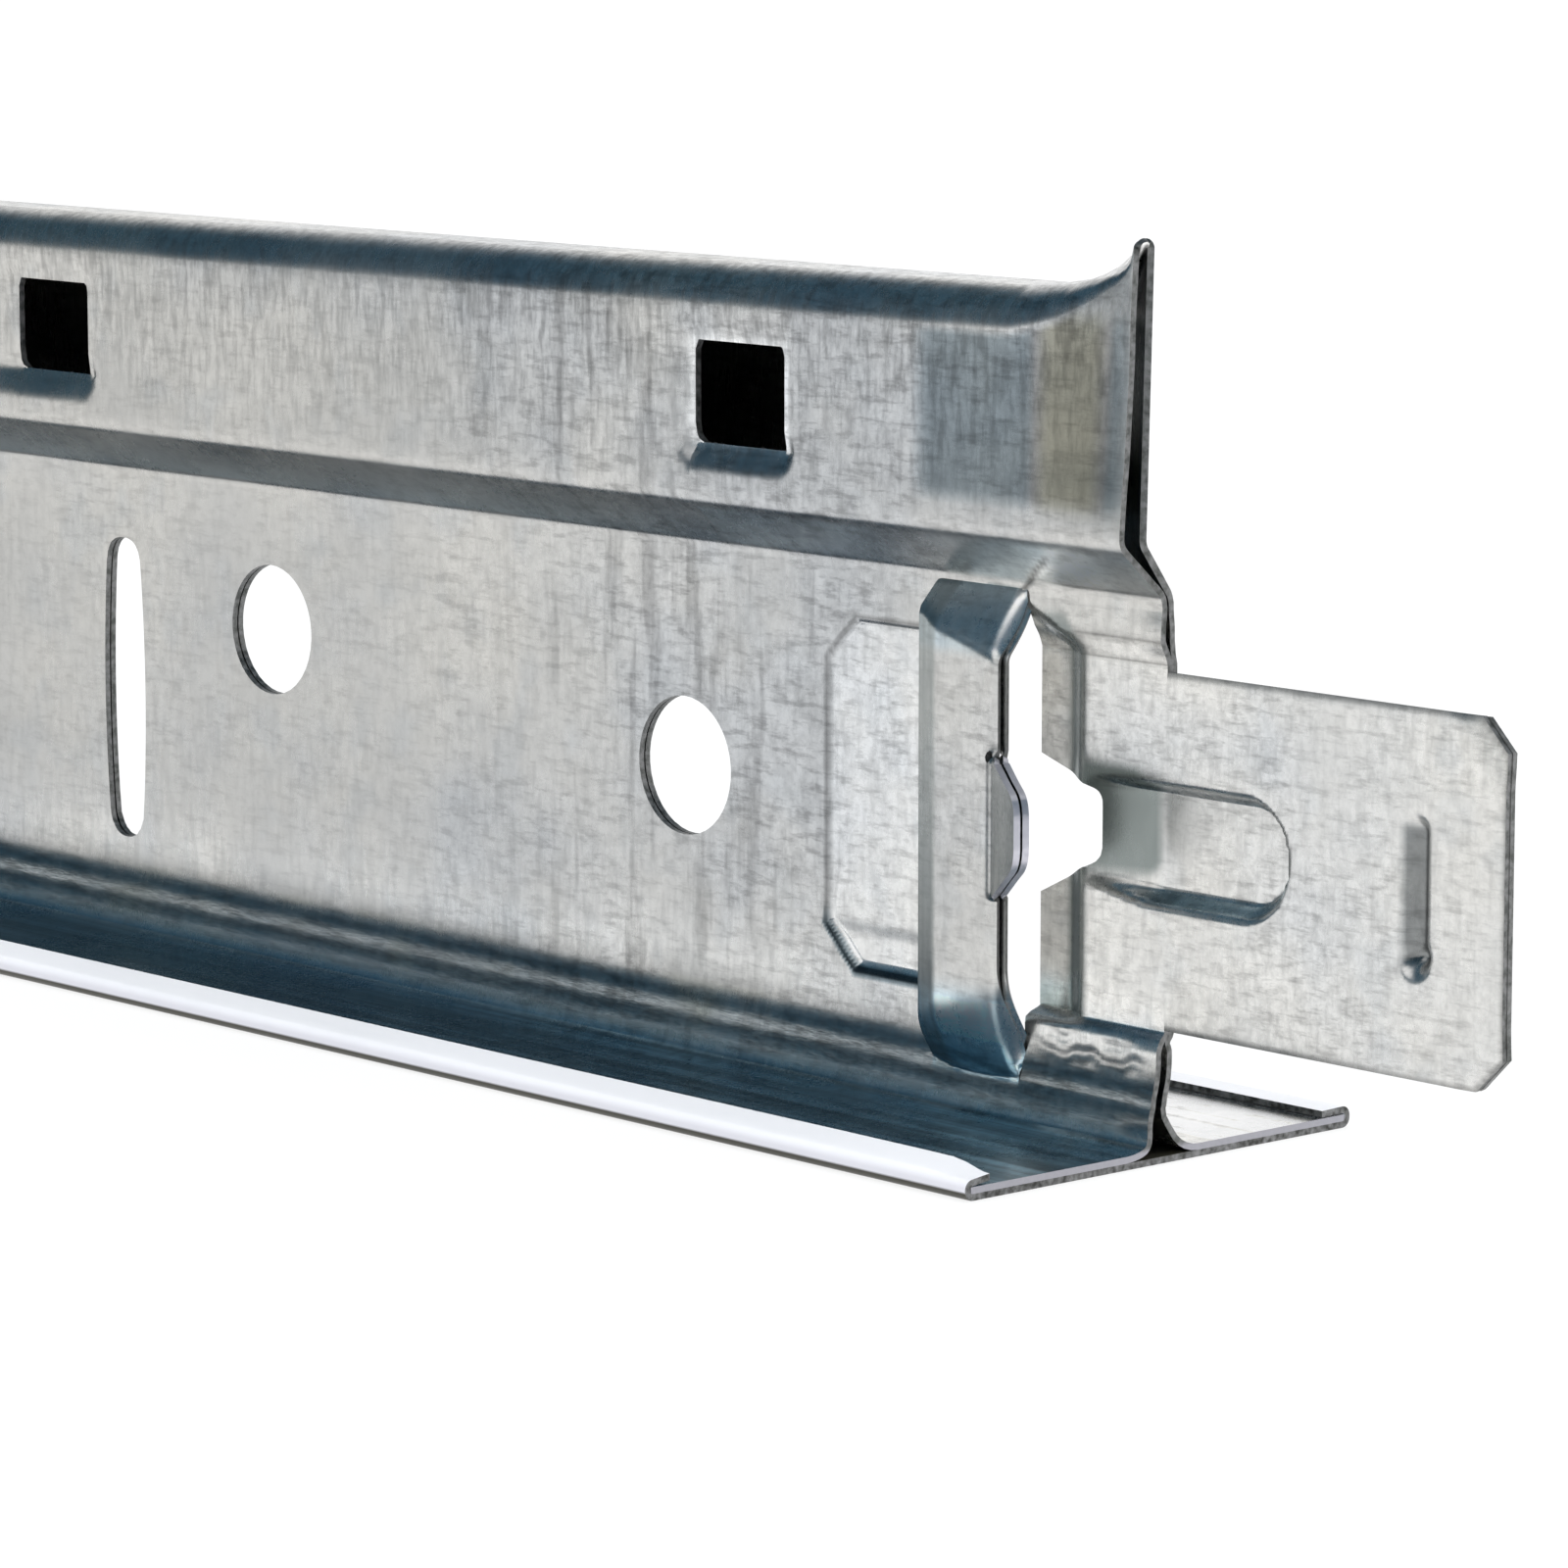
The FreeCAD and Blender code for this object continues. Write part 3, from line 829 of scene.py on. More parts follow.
def tongue_marks(x, z, dull_and_shade, tint, shade):
    """The tongue's blade painted lighter, with painted shade in the detent's groove and along the
    rolled edges.
    """
    # painted shade in the detent's groove, a little bluish
    groove = band(x, detent_span[0] - 0.1, detent_span[1] - 0.15, 0.35)
    groove = groove * band(z, detent_height[0] + 0.5, detent_height[1], 0.5)
    # painted shade along the tongue's rolled edges
    rim_shading = smooth((0.26 - tongue_inside(x, z)) / 0.20)
    return dull_and_shade, tint - 0.15 * groove, 1.20 * (1 - 0.64 * groove) * (1 - 0.50 * rim_shading)


def marks_of(points, zones, part, holed):
    """Three numbers at each point: first, where the zinc is painted dark grey-green, partly as
    stretched zinc and mostly as painted shade; second, a painted reflection colour, bluish below
    zero and brownish above; and third, a painted light and shade factor on the brightness. Here
    x runs from the end plane."""
    x, z = points[..., 0], points[..., 2]
    web = np.isin(zones, (NEAR_WEB, FAR_WEB))
    marks = section_marks(x, z, zones, holed)
    painters = {"run": [], "seat": [seat_marks], "belt": [belt_marks],
                "root": [root_marks, stop_marks], "tongue": [stop_marks, tongue_marks]}
    for painter in painters[part]:
        painted = painter(x, z, *marks)
        marks = [np.where(web, new, old) for new, old in zip(painted, marks)]
    return np.stack(marks, axis=-1)


def wall_dent(x, z):
    """The near wall of the bulb dished in ahead of its crushed end."""
    return 0.08 * smooth((x + 13.5) / 9.0) * smooth((z - 28.6) / 3.0) * smooth((37.4 - z) / 2.6)


def end_part(x, shares, zones, part, bulb_zone):
    """Centre surfaces of one part of the splice end: near half and far half of the section."""
    points = section_points(x, shares)
    xs, z = points[:, :, 0], points[:, :, 2]
    near, far = end_relief(xs, z, part)
    points[:, :, 1] += np.where(zones == NEAR_WEB, near, 0) + np.where(zones == FAR_WEB, far, 0)
    points[:, :, 1] += foot_shift(zones, xs, z)
    dent = rim_dent(xs + half_length, z)
    side = 1.0 if bulb_zone == NEAR_WALL else -1.0
    points[:, :, 1] += np.where(zones == bulb_zone, side * dent, 0)
    points[:, :, 1] += np.where(zones == NEAR_WALL, wall_dent(xs, z), 0)
    marks = marks_of(points, zones, part, bulb_zone)
    shifted = points + np.array([half_length, 0, 0])
    cut = perforation_field(shifted, zones, 0, half_length, bulb_zone)
    web = np.isin(zones, (NEAR_WEB, FAR_WEB))[None, :]
    if part == "root":
        cut = np.where(web, np.minimum(cut, lance_field(xs, z)), cut)
    if part == "belt":
        relief = round_hole(xs, z, relief_from_root[0] - belt_right - tab_root,
                            tab_mouth[1] + relief_from_root[1], relief_radius)
        cut = np.where(web, np.minimum(cut, relief), cut)
    return grid_mesh(points, marks, cut)


def tongue_part(x, shares, zones, web_zone):
    """Centre surface of one skin of the tongue's blade."""
    points = section_points(np.minimum(x, 0), shares)
    points[:, :, 0] = x[:, None]
    z = points[0, :, 2]
    rows = np.flatnonzero((zones == web_zone) & (z > tongue_bottom - 1e-6)
                          & (z < tongue_top + 1e-6))
    points = points[:, rows]
    near, far = end_relief(points[:, :, 0], points[:, :, 2], "tongue")
    points[:, :, 1] += near if web_zone == NEAR_WEB else far
    marks = marks_of(points, zones[rows], "tongue", NEAR_WALL)
    return grid_mesh(points, marks, tongue_field(points[:, :, 0], points[:, :, 2]))


def tab_part(lines, step, near):
    """One skin of the lead-in tab: it carries on from its root in the belt at the tab's
    angle, curling back a little at its tip, and its sides taper."""
    s = spaced([0, 0.8, tab_length], [step * 0.9, step * 1.6])
    lean = math.radians(tab_angle) * (1 - 0.25 * smooth(s / tab_length - 0.45))
    gap = np.diff(s, prepend=0)
    x = np.cumsum(np.cos(lean) * gap) - belt_right
    y = -np.cumsum(np.sin(lean) * gap)
    z = lines[(lines > tab_mouth[0] - 1e-6) & (lines < tab_mouth[1] + 1e-6)]
    edge = np.full(z.shape, -belt_right)
    base_near, base_far = end_relief(edge, z, "belt")
    base = -web_line + base_near if near else web_line + base_far
    points = np.stack([np.broadcast_to(x[:, None], (len(s), len(z))),
                       y[:, None] + base[None, :],
                       np.broadcast_to(z[None, :], (len(s), len(z)))], axis=2)
    low, high = tab_sides((s / tab_length)[:, None])
    cut = soft_min(z[None, :] - low, high - z[None, :], 0.2) + 0.02
    cut = soft_min(cut, tab_length - s[:, None] + 0.001, 0.9)
    if not near:
        points = points[:, ::-1]
        cut = cut[:, ::-1]
    # painted shade on the tab's face, dark grey-green and a little darker; it also pales the tab's
    # cut edges as painted light
    marks = np.broadcast_to(np.array([0.55, 0.0, 0.9]), cut.shape + (3,))
    return grid_mesh(points, marks, cut)


def splice_end(step, bulb_zone):
    """A whole splice end as one sheet, with its end plane at x = 0. Grid lines pass through
    every press line and lie closer together where the shape turns. bulb_zone is the wall
    with the square holes: the end that is turned round has them in its own far wall."""
    web_lines = spaced(
        [web_low, belt_bottom, 5.3, jog_bottom[1], tongue_bottom, 8.2, 9.6, tab_mouth[0], 12.2,
         15.9, tab_mouth[1], 20.9, tongue_top, 21.9, 22.1, seat_top, 22.9, 23.1, belt_top,
         web_high],
        step * np.array([0.7, 0.9, 0.9, 0.9, 0.7, 1.5, 0.8, 0.7, 1.5, 0.8, 1.5, 0.8, 0.8, 0.6,
                         0.8, 1.0, 0.6, 1.2, 1]))
    wall_lines = spaced([wall_low, 29.8, 34.6, wall_high], step * np.array([1.8, 2.4, 2.2]))
    bends, slope = max(6, round(3.4 / step)), max(2, round(1.6 / step))
    shares, zones = section_rows(web_lines, wall_lines, bends, slope)
    seat_x = spaced([-end_reach, -21.9, -21.2, -19.4, -belt_left],
                    step * np.array([2.4, 0.55, 0.8, 2.2]))
    belt_x = spaced([-belt_left, -12.9, -12.3, -9.6, -belt_right],
                    step * np.array([1.3, 1, 1.6, 0.7]))
    root_x = spaced([-belt_right, -4.9, -4.0, -1.0, 0], step * np.array([1.1, 0.9, 1.3, 0.8]))
    tongue_x = spaced([0, 4.2, 7.6, 13.4, 16.0, 18.9, tongue_length - 0.06],
                      step * np.array([2.0, 1.0, 2.6, 0.9, 1.6, 0.7]))
    meshes = [end_part(seat_x, shares, zones, "seat", bulb_zone),
              end_part(belt_x, shares, zones, "belt", bulb_zone),
              end_part(root_x, shares, zones, "root", bulb_zone),
              tongue_part(tongue_x, shares, zones, NEAR_WEB),
              tongue_part(tongue_x, shares, zones, FAR_WEB),
              tab_part(web_lines, step, True), tab_part(web_lines, step, False)]
    data, triangles = welded(meshes)
    return thickened(data, triangles, skin, lambda p: p[:, 0] < -end_reach + 1e-6)


def run_columns(low, high, hole_step):
    """Places of the columns of a straight stretch: close together at each opening."""
    openings = [(c, slot_width / 2 + 0.6) for c in places_from_ends(slot_from_end, slot_pitch)]
    openings += [(c, hanger_radius + 0.2) for from_end, height in hanger_holes
                 for c in places_from_ends(from_end, slot_pitch)]
    openings += [(c, bulb_hole_width / 2 + 0.2) for c in bulb_hole_places()]
    places = [low, high]
    for centre, half in openings:
        if low < centre < high:
            count = max(2, math.ceil(2 * half / hole_step))
            places.extend(np.linspace(centre - half, centre + half, count + 1))
    places = np.unique(np.round([p for p in places if low <= p <= high], 4))
    close = np.concatenate([[False], np.diff(places) < hole_step * 0.35])
    close[-1] = False
    columns = places[~close]
    return spaced(list(columns), [widest_column] * (len(columns) - 1))


def plain_run(low, high, step, bends):
    """A straight stretch of the tee between two places, with its openings. The punch's
    dents are made only where the mesh is fine enough for them."""
    columns = run_columns(low, high, step)
    web_lines = spaced([web_low, 3.3, 5.4, 10.85, 20.85, 21.2, web_high],
                       [step * 0.4, step * 0.5, step * 2.5, step, 1, 9])
    wall_lines = spaced([wall_low, 29.8, 30.3, 34.1, 34.6, wall_high],
                        [step * 1.3, 1, step * 1.5, 1, step * 1.3])
    shares, zones = section_rows(web_lines, wall_lines, bends, 1)
    points = section_points(np.full(len(columns), -end_reach), shares)
    points[:, :, 0] = columns[:, None]
    x, z = points[:, :, 0], points[:, :, 2]
    points[:, :, 1] += np.where(np.isin(zones, (NEAR_WEB, FAR_WEB)), roll_marks(z), 0)
    points[:, :, 1] += foot_shift(zones, -end_reach, z)
    if step < 1:
        points[:, :, 1] += np.where(zones == NEAR_WALL, rim_dent(x, z), 0)
    cut = perforation_field(points, zones, low - 5, high + 5, NEAR_WALL)
    from_end = points - np.array([half_length, 0, 0])
    marks = marks_of(from_end, zones, "run", NEAR_WALL)
    data, triangles = welded([grid_mesh(points, marks, cut)])
    return thickened(data, triangles, skin,
                     lambda p: (p[:, 0] < low + 1e-6) | (p[:, 0] > high - 1e-6))


# Node groups and materials

def node_group(name, inputs, outputs):
    """An empty node group with named sockets, and its input and output nodes."""
    group = bpy.data.node_groups.new(name, "ShaderNodeTree")
    for label, kind, value in inputs:
        socket = group.interface.new_socket(label, in_out="INPUT", socket_type=kind)
        if value is not None:
            socket.default_value = value
    for label, kind in outputs:
        group.interface.new_socket(label, in_out="OUTPUT", socket_type=kind)
    return group, group.nodes.new("NodeGroupInput"), group.nodes.new("NodeGroupOutput")


def put(tree, kind, values=None, links=None, **settings):
    """One node with its settings, socket values and incoming links."""
    node = tree.nodes.new(kind)
    for key, value in settings.items():
        setattr(node, key, value)
    for key, value in (values or {}).items():
        node.inputs[key].default_value = value
    for key, source in (links or {}).items():
        tree.links.new(source, node.inputs[key])
    return node


def noise(tree, place, scale, detail=3.0, roughness=0.5):
    """Noise whose grain is stretched by the three scales, in grains per metre."""
    mapped = put(tree, "ShaderNodeMapping", {"Scale": scale}, {"Vector": place})
    return put(tree, "ShaderNodeTexNoise",
               {"Scale": 1.0, "Detail": detail, "Roughness": roughness},
               {"Vector": mapped.outputs[0]}).outputs["Fac"]


def spread(tree, value, low, high, new_low, new_high):
    """The value mapped from one range onto another, held at its ends."""
    return put(tree, "ShaderNodeMapRange",
               {"From Min": low, "From Max": high, "To Min": new_low, "To Max": new_high},
               {"Value": value}).outputs[0]


def maths(tree, operation, a, b):
    """One sum, product or power of two values; either may be a number or a socket."""
    node = tree.nodes.new("ShaderNodeMath")
    node.operation = operation
    for slot, value in ((0, a), (1, b)):
        if hasattr(value, "links"):
            tree.links.new(value, node.inputs[slot])
        else:
            node.inputs[slot].default_value = value
    return node.outputs[0]


def blend(tree, share, a, b, mode="MIX"):
    """Two colours mixed; share, a and b may each be a value or a socket."""
    node = tree.nodes.new("ShaderNodeMix")
    node.data_type = "RGBA"
    node.blend_type = mode
    for slot, value in ((0, share), (6, a), (7, b)):
        if hasattr(value, "links"):
            tree.links.new(value, node.inputs[slot])
        else:
            node.inputs[slot].default_value = value
    return node.outputs[2]


def zinc_noises(tree, place):
    """The zinc's noises by name, from broad patches to fine grain."""
    grains = {"patch": ((38, 44, 50), 3, 0.55), "bloom": ((95, 105, 90), 3, 0.55),
              "cloud": ((300, 320, 260), 2, 0.5), "upright": ((2300, 2300, 520), 3, 0.65),
              "level": ((560, 560, 2600), 3, 0.65), "fine": ((1500, 1500, 1500), 3, 0.7),
              "smear": ((900, 900, 110), 3, 0.55), "streak": ((24, 1100, 1100), 3, 0.6)}
    return {name: noise(tree, place, *grain) for name, grain in grains.items()}


def zinc_masks(tree, place):
    """Where the zinc differs, by place in metres: the flange's plate and its far half, the
    web's foot, the bulb's head, the handled end and the stretched part of it."""
    along, across, up = put(tree, "ShaderNodeSeparateXYZ", None, {0: place}).outputs
    from_middle = maths(tree, "ABSOLUTE", along, 0)
    plate = spread(tree, up, 0.0007, 0.0012, 1, 0)
    return {"plate": plate,
            "beyond": maths(tree, "MULTIPLY", plate, spread(tree, across, 0.0, 0.0008, 0, 1)),
            "foot": maths(tree, "MULTIPLY", spread(tree, up, 0.0032, 0.0042, 1, 0),
                          spread(tree, up, 0.0008, 0.0018, 0, 1)),
            "head": spread(tree, up, 0.0270, 0.0350, 0, 1),
            "handled": spread(tree, from_middle, 1.770, 1.800, 0.5, 1.0),
            "rubbed": spread(tree, from_middle, 1.770, 1.800, 0.94, 1.05),
            "stretch": maths(tree, "MULTIPLY", spread(tree, from_middle, 1.780, 1.792, 0, 1),
                             spread(tree, from_middle, 1.800, 1.810, 1, 0.12))}


def zinc_tone(tree, noises):
    """Bluish and brownish zinc in broad patches, with a paler bloom and grey clouds."""
    tone = blend(tree, spread(tree, noises["patch"], 0.40, 0.58, 0, 1),
                 (0.488, 0.500, 0.511, 1), (0.615, 0.604, 0.575, 1))
    tone = blend(tree, spread(tree, noises["bloom"], 0.42, 0.62, 0, 0.55), tone,
                 (0.625, 0.616, 0.592, 1))
    return blend(tree, spread(tree, noises["cloud"], 0.54, 0.68, 0, 0.30), tone,
                 (0.47, 0.495, 0.515, 1))


def zinc_shade(tree, noises, masks):
    """Brightness of the grain: crossed strokes, smears, upright combing on the bulb, level wear
    on the foot, lighter lengthwise streaks on the flange towards the ends and small dark specks."""
    strokes = maths(tree, "MULTIPLY", spread(tree, noises["upright"], 0.32, 0.50, 0.88, 1.02),
                    spread(tree, noises["level"], 0.34, 0.50, 0.70, 1.03))
    strokes = maths(tree, "MULTIPLY", strokes,
                    spread(tree, noises["fine"], 0.34, 0.62, 0.84, 1.09))
    worn = maths(tree, "MULTIPLY", masks["handled"],
                 spread(tree, noises["bloom"], 0.40, 0.60, 1, 0.6))
    shade = blend(tree, worn, (1, 1, 1, 1), strokes)
    smeared = maths(tree, "MULTIPLY", masks["stretch"],
                    spread(tree, noises["smear"], 0.53, 0.66, 0, 0.30))
    shade = maths(tree, "MULTIPLY", shade, maths(tree, "SUBTRACT", 1.0, smeared))
    flange_near_ends = maths(tree, "MULTIPLY", masks["plate"], masks["handled"])
    for mask, grain in ((masks["head"], spread(tree, noises["upright"], 0.36, 0.60, 0.80, 1.08)),
                        (masks["foot"], spread(tree, noises["level"], 0.36, 0.62, 0.80, 1.10)),
                        (flange_near_ends, spread(tree, noises["streak"], 0.42, 0.66, 0.90, 2.2))):
        shade = maths(tree, "MULTIPLY", shade, blend(tree, mask, (1, 1, 1, 1), grain))
    specks = spread(tree, noises["fine"], 0.20, 0.26, 0.55, 1.0)
    shade = maths(tree, "MULTIPLY", shade, specks)
    return maths(tree, "MULTIPLY", shade, masks["rubbed"])


def zinc_height(tree, noises, masks):
    """Relief of the zinc in metres, nearly flat on the far flange."""
    comb = maths(tree, "MULTIPLY", noises["upright"], masks["head"])
    rolled = maths(tree, "MULTIPLY", noises["level"], masks["foot"])
    height = maths(tree, "MULTIPLY", noises["bloom"], 0.00015)
    for relief, depth in ((noises["cloud"], 0.000012), (noises["fine"], 0.0000008),
                          (comb, 0.000008), (rolled, 0.000010)):
        height = maths(tree, "ADD", height, maths(tree, "MULTIPLY", relief, depth))
    return maths(tree, "MULTIPLY", height, spread(tree, masks["beyond"], 0, 1, 1, 0.2))


def zinc_group():
    """Zinc coating: soft cloudy bloom, patchy rolling grain, scratches and small specks;
    upright streaks on the bulb and lengthwise ones on the foot. The mesh's marks add painted
    light, shade and reflection colour."""
    group, given, out = node_group(
        "zinc_grain", [("Dull_and_shade", "NodeSocketFloat", 0.0), ("Tint", "NodeSocketFloat", 0.0),
                       ("Shade", "NodeSocketFloat", 1.0)],
        [("Color", "NodeSocketColor"), ("Roughness", "NodeSocketFloat"),
         ("Height", "NodeSocketFloat")])
    place = put(group, "ShaderNodeTexCoord").outputs["Object"]
    noises, masks = zinc_noises(group, place), zinc_masks(group, place)
    # painted light and shade: the mesh's brightness factor
    shade = maths(group, "MULTIPLY", zinc_shade(group, noises, masks), given.outputs["Shade"])
    tone = blend(group, 1.0, zinc_tone(group, noises), shade, "MULTIPLY")
    rusty = maths(group, "MULTIPLY", masks["foot"],
                  spread(group, noises["bloom"], 0.50, 0.64, 0, 0.7))
    # painted yellowish reflection from the mesh, plus the brownish tone on the foot
    warm = maths(group, "ADD", given.outputs["Tint"], rusty)
    tone = blend(group, spread(group, warm, 0, 1, 0, 1), tone, (1.0, 0.97, 0.80, 1), "MULTIPLY")
    # painted bluish reflection from the mesh
    tone = blend(group, spread(group, given.outputs["Tint"], 0, -1, 0, 1), tone,
                 (0.70, 0.94, 1.09, 1), "MULTIPLY")
    # painted shade: dark grey-green from the mesh
    tone = blend(group, given.outputs["Dull_and_shade"], tone, (0.285, 0.315, 0.305, 1))
    group.links.new(tone, out.inputs["Color"])
    rough = maths(group, "ADD", spread(group, noises["bloom"], 0.3, 0.7, 0.22, 0.32),
                  spread(group, noises["upright"], 0.4, 0.6, 0.03, -0.01))
    rough = maths(group, "SUBTRACT", rough, maths(group, "MULTIPLY", masks["foot"], 0.06))
    group.links.new(rough, out.inputs["Roughness"])
    group.links.new(zinc_height(group, noises, masks), out.inputs["Height"])
    return group


def new_material(name):
    """A material with its node tree and its Principled shader."""
    material = bpy.data.materials.new(name)
    material.use_nodes = True
    tree = material.node_tree
    return material, tree, tree.nodes["Principled BSDF"]


def zinc_material(grain):
    """Galvanised sheet: the zinc's colour, roughness and relief, led by the mesh's marks of
    painted light, shade and reflection colour.
    """
    material, tree, shader = new_material("galvanised_sheet")
    effect = put(tree, "ShaderNodeGroup", node_tree=grain)
    # the mesh's painted shade, painted reflection colour and painted light and shade
    for label in ("Dull_and_shade", "Tint", "Shade"):
        layer = put(tree, "ShaderNodeAttribute", attribute_name=label.lower())
        tree.links.new(layer.outputs["Fac"], effect.inputs[label])
    bump = put(tree, "ShaderNodeBump", {"Strength": 1.0, "Distance": 1.0},
               {"Height": effect.outputs["Height"]})
    shader.inputs["Metallic"].default_value = 1.0
    tree.links.new(effect.outputs["Color"], shader.inputs["Base Color"])
    tree.links.new(effect.outputs["Roughness"], shader.inputs["Roughness"])
    tree.links.new(bump.outputs[0], shader.inputs["Normal"])
    return material


def torn(tree, place, dark, pale):
    """Speckled colour of torn steel, and the noise that it follows."""
    tear = noise(tree, place, (2600, 2600, 2600), 3, 0.6)
    return blend(tree, spread(tree, tear, 0.35, 0.65, 0, 1), dark, pale), tear


def cut_material():
    """Sheared edges of the steel: dark and torn, which also stands in for the shade in the holes
    and slots; paler as painted light where the mesh's dark grey-green mark is set, as on the
    tab's edges; and paler along the flange's edge."""
    material, tree, shader = new_material("sheared_edge")
    place = put(tree, "ShaderNodeTexCoord").outputs["Object"]
    height_above = put(tree, "ShaderNodeSeparateXYZ", None, {0: place}).outputs[2]
    tone, tear = torn(tree, place, (0.095, 0.10, 0.095, 1), (0.30, 0.30, 0.30, 1))
    # painted light: cut edges paler where the mesh's dark grey-green mark is set
    edge_light = put(tree, "ShaderNodeAttribute", attribute_name="dull_and_shade").outputs["Fac"]
    tone = blend(tree, spread(tree, edge_light, 0.3, 0.55, 0, 1), tone, (0.74, 0.73, 0.80, 1))
    tone = blend(tree, spread(tree, height_above, 0.0006, 0.0008, 0.6, 0), tone,
                 (0.62, 0.61, 0.68, 1))
    shader.inputs["Metallic"].default_value = 0.9
    tree.links.new(tone, shader.inputs["Base Color"])
    tree.links.new(spread(tree, tear, 0.3, 0.7, 0.35, 0.6), shader.inputs["Roughness"])
    return material


def paint_material():
    """Baked white paint with a faint orange peel and slight greying; painted shade, greyer and
    lilac, low on the hem's near side; and a painted contact shadow in the line where it stands
    on the floor."""
    material, tree, shader = new_material("white_face_paint")
    place = put(tree, "ShaderNodeTexCoord").outputs["Object"]
    peel = noise(tree, place, (900, 900, 900), 2, 0.5)
    grime = noise(tree, place, (60, 240, 240), 4, 0.6)
    tone = blend(tree, spread(tree, grime, 0.45, 0.75, 0, 1),
                 (0.86, 0.86, 0.885, 1), (0.79, 0.795, 0.82, 1))
    _, across, height_above = put(tree, "ShaderNodeSeparateXYZ", None, {0: place}).outputs
    # painted shade: the near side of the hem greyer and lilac low down
    side = maths(tree, "MULTIPLY", spread(tree, height_above, 0.0006, 0.0010, 1, 0),
                 spread(tree, across, 0.0, 0.001, 1, 0))
    tone = blend(tree, side, tone, (0.70, 0.69, 0.735, 1))
    # painted contact shadow: dark where the strip stands on the floor
    foot = spread(tree, height_above, 0.00034, 0.00044, 1, 0)
    tone = blend(tree, foot, tone, (0.045, 0.042, 0.030, 1))
    bump = put(tree, "ShaderNodeBump", {"Strength": 1.0, "Distance": 1.0},
               {"Height": maths(tree, "MULTIPLY", peel, 0.000004)})
    shader.inputs["Specular IOR Level"].default_value = 0.3
    tree.links.new(tone, shader.inputs["Base Color"])
    tree.links.new(spread(tree, grime, 0.3, 0.7, 0.28, 0.42), shader.inputs["Roughness"])
    tree.links.new(bump.outputs[0], shader.inputs["Normal"])
    return material


# Face cap

def cap_sheet():
    """The painted strip: a flat face whose edges fold up and over the flange. Its lips are
    pressed down a little at the cut ends. The sheared edge of the far lip is bare."""
    half = cap_skin / 2
    outer = face_width / 2 - half
    tip = face_width / 2 - hem_width
    ends = np.array([0, 0.3, 0.7, 1.2, 1.8, 2.6, 4.0, 10.0, 40.0])
    between = np.linspace(-1700, 1700, 35)
    x = np.concatenate([ends - half_length, between, half_length - ends[::-1]])
    same = np.ones_like(x)
    wave = hem_wave * np.sin(x / 9.0) * np.sin(x / 23.0)
    pressed = 1 - smooth((half_length - np.abs(x)) / hem_press_length)
    near_z = near_hem_height - half + wave - hem_drop * pressed
    near_tip = -tip - hem_shift * pressed ** 2
    points = [(near_tip, near_z), (-outer * same, (near_hem_corner - half) - 0.1 * pressed),
              (-outer * same, half * same), (outer * same, half * same),
              (outer * same, (far_hem_corner - half) * same),
              (tip * same, (far_hem_height - half) * same)]
    corners = np.array([np.stack(p, axis=1) for p in points])
    radii = np.full((4, len(x)), hem_bend)
    shares = [steps(3), steps(6), steps(1), steps(6), steps(8), steps(6), steps(1), steps(6),
              np.linspace(0, 1, 4)]
    yz = folded(corners, radii, shares)
    columns = np.broadcast_to(x[:, None, None], yz.shape[:2] + (1,))
    points = np.concatenate([columns, yz], axis=2)
    marks = np.zeros(yz.shape[:2] + (3,))
    data, triangles = welded([grid_mesh(points[:, ::-1], marks)])
    points, marks, faces, is_wall = thickened(data, triangles, cap_skin)
    at_end = (np.abs(points[faces, 0]) > half_length - 0.01).all(axis=1)
    # the far lip's sheared edge takes the dark edge material as painted shade
    far_edge = (points[faces, 1] > 0).all(axis=1)
    return points, marks, faces, is_wall & (at_end | far_edge)


def cap_edge_material():
    """Sheared edges of the painted strip, dark bare steel; on the far lip's edge the darkness is
    painted shade.
    """
    material, tree, shader = new_material("strip_end")
    place = put(tree, "ShaderNodeTexCoord").outputs["Object"]
    tone, _ = torn(tree, place, (0.06, 0.06, 0.055, 1), (0.30, 0.30, 0.30, 1))
    shader.inputs["Metallic"].default_value = 0.6
    shader.inputs["Roughness"].default_value = 0.55
    tree.links.new(tone, shader.inputs["Base Color"])
    return material


# Pieces

metal = [zinc_material(zinc_group()), cut_material()]
fine_end = half_length - end_reach
fine_run = half_length - near_reach
tee_sheets = {
    "tee_end_plus_x": placed_end(splice_end(seen_end_step, NEAR_WALL), 1),
    "tee_end_minus_x": placed_end(splice_end(far_end_step, FAR_WALL), -1),
    "tee_run_plus_x": plain_run(fine_run, fine_end, near_run_step, 17),
    "tee_run_middle_a": plain_run(0, fine_run, far_run_step, 6),
    "tee_run_middle_b": plain_run(-fine_end, 0, far_run_step, 6)}
for piece_name, sheet in tee_sheets.items():
    make_piece(piece_name, sheet, metal, "tee_body")
make_piece("face_cap_strip", cap_sheet(), [paint_material(), cap_edge_material()], "face_cap")


# Floor, light and camera

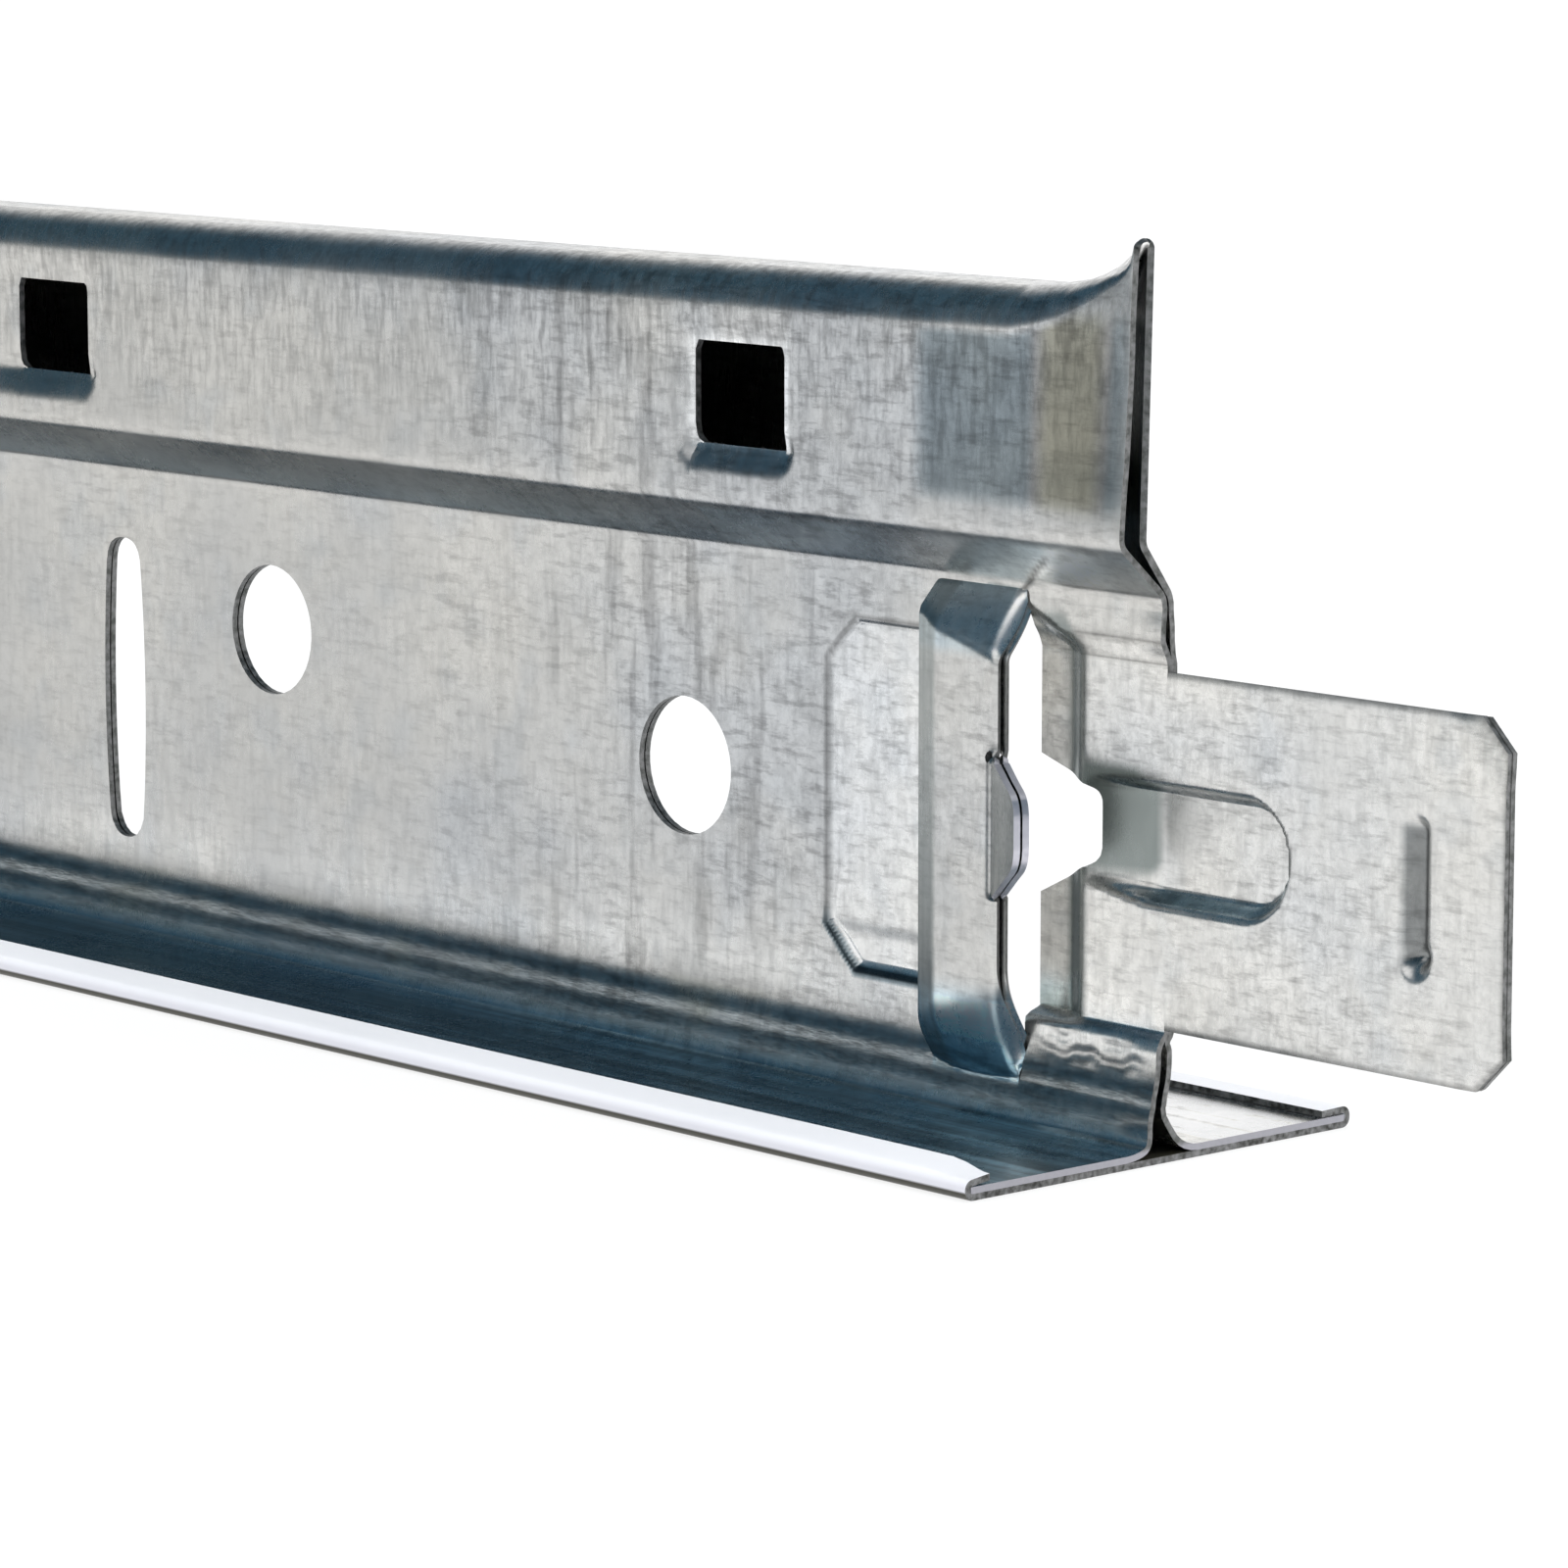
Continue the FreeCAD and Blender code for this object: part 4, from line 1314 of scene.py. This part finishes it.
def floor_material():
    """White floor: lit and shadowed as plain white, and near full white to the camera
    and in reflections."""
    material = bpy.data.materials.new("white_floor")
    material.use_nodes = True
    tree = material.node_tree
    tree.nodes.remove(tree.nodes["Principled BSDF"])
    out = tree.nodes["Material Output"]
    plain = put(tree, "ShaderNodeBsdfDiffuse", {"Color": (0.93, 0.93, 0.93, 1)})
    glow = put(tree, "ShaderNodeEmission", {"Color": (1, 1, 1, 1), "Strength": 1.0})
    path = put(tree, "ShaderNodeLightPath")
    seen = maths(tree, "MAXIMUM", path.outputs["Is Camera Ray"], path.outputs["Is Glossy Ray"])
    seen = maths(tree, "MAXIMUM", seen, path.outputs["Is Transmission Ray"])
    share = maths(tree, "MULTIPLY", seen, 0.82)
    mix = put(tree, "ShaderNodeMixShader", None,
              {0: share, 1: plain.outputs[0], 2: glow.outputs[0]})
    tree.links.new(mix.outputs[0], out.inputs["Surface"])
    return material


def make_floor():
    """A round level floor just under the part, as rings of points about the origin."""
    around = 96
    angle = np.linspace(0, 2 * math.pi, around, endpoint=False)
    rings = np.array([0.5, 4.0, 40.0])
    ring = np.stack([np.outer(rings, np.cos(angle)), np.outer(rings, np.sin(angle)),
                     np.full((3, around), -0.00002)], axis=2).reshape(-1, 3)
    i = np.arange(around)
    j = (i + 1) % around
    faces = [i.tolist()]
    for inner, outer in ((0, around), (around, 2 * around)):
        quads = np.stack([i + inner, i + outer, j + outer, j + inner], axis=1)
        faces += quads.tolist()
    mesh = bpy.data.meshes.new("floor")
    mesh.from_pydata(ring.tolist(), [], faces)
    mesh.materials.append(floor_material())
    floor = bpy.data.objects.new("floor", mesh)
    bpy.context.scene.collection.objects.link(floor)


def make_world():
    """Surroundings by direction: white behind the object up to a low height, and a dark
    blue room in front of it and overhead, hazy at the horizon, with one white soft box."""
    world = bpy.data.worlds.new("studio")
    bpy.context.scene.world = world
    world.use_nodes = True
    tree = world.node_tree
    backdrop = tree.nodes["Background"]
    place = put(tree, "ShaderNodeTexCoord").outputs["Generated"]
    _, north, up = put(tree, "ShaderNodeSeparateXYZ", None, {0: place}).outputs
    behind = spread(tree, north, 0.02, 0.30, 0, 1)
    low = spread(tree, up, 0.45, 0.62, 1, 0)
    back = maths(tree, "MULTIPLY", behind, low)
    haze = spread(tree, up, 0.0, 0.11, 1, 0)
    room = blend(tree, haze, (0.040, 0.089, 0.129, 1), (0.17, 0.205, 0.215, 1))
    aim = put(tree, "ShaderNodeVectorMath", {1: Vector((-0.11, -0.87, 0.48)).normalized()},
              {0: place}, operation="DOT_PRODUCT").outputs["Value"]
    room = blend(tree, spread(tree, aim, 0.900, 0.930, 0, 1), room, (1.0, 1.0, 1.0, 1))
    under = spread(tree, up, -0.03, 0.0, 1, 0)
    tone = blend(tree, back, room, (1.0, 1.0, 1.0, 1))
    tone = blend(tree, under, tone, (0.95, 0.95, 0.95, 1))
    tree.links.new(tone, backdrop.inputs["Color"])
    backdrop.inputs["Strength"].default_value = 1.0


def make_lamps():
    """A broad soft lamp from the front and a broader one from behind; polished metal shows
    the surroundings, not the lamps."""
    for name, energy, spread_angle, direction in (("front", 2.1, 70, (0.30, 0.75, -1.0)),
                                                  ("back", 2.9, 90, (-0.2, -0.6, -1.0))):
        lamp = bpy.data.lights.new(name, "SUN")
        lamp.energy = energy
        lamp.angle = math.radians(spread_angle)
        holder = bpy.data.objects.new(name, lamp)
        bpy.context.scene.collection.objects.link(holder)
        holder.rotation_mode = "QUATERNION"
        holder.rotation_quaternion = Vector(direction).to_track_quat("-Z", "Y")
        holder.visible_glossy = False


def make_camera():
    """The photograph's camera: its place and direction were worked out from the sizes."""
    azimuth, elevation = math.radians(camera_azimuth), math.radians(camera_elevation)
    back = Vector((math.sin(azimuth) * math.cos(elevation),
                   -math.cos(azimuth) * math.cos(elevation), math.sin(elevation)))
    camera = bpy.data.cameras.new("camera")
    camera.sensor_width = sensor_width
    camera.lens = focal_pixels / image_width * sensor_width
    camera.clip_start, camera.clip_end = 0.01, 200
    holder = bpy.data.objects.new("camera", camera)
    bpy.context.scene.collection.objects.link(holder)
    holder.location = Vector(camera_place) * 0.001
    holder.rotation_mode = "QUATERNION"
    holder.rotation_quaternion = (-back).to_track_quat("-Z", "Y")
    bpy.context.scene.camera = holder


make_floor()
make_world()
make_lamps()
make_camera()
bpy.context.scene.view_settings.view_transform = "Standard"
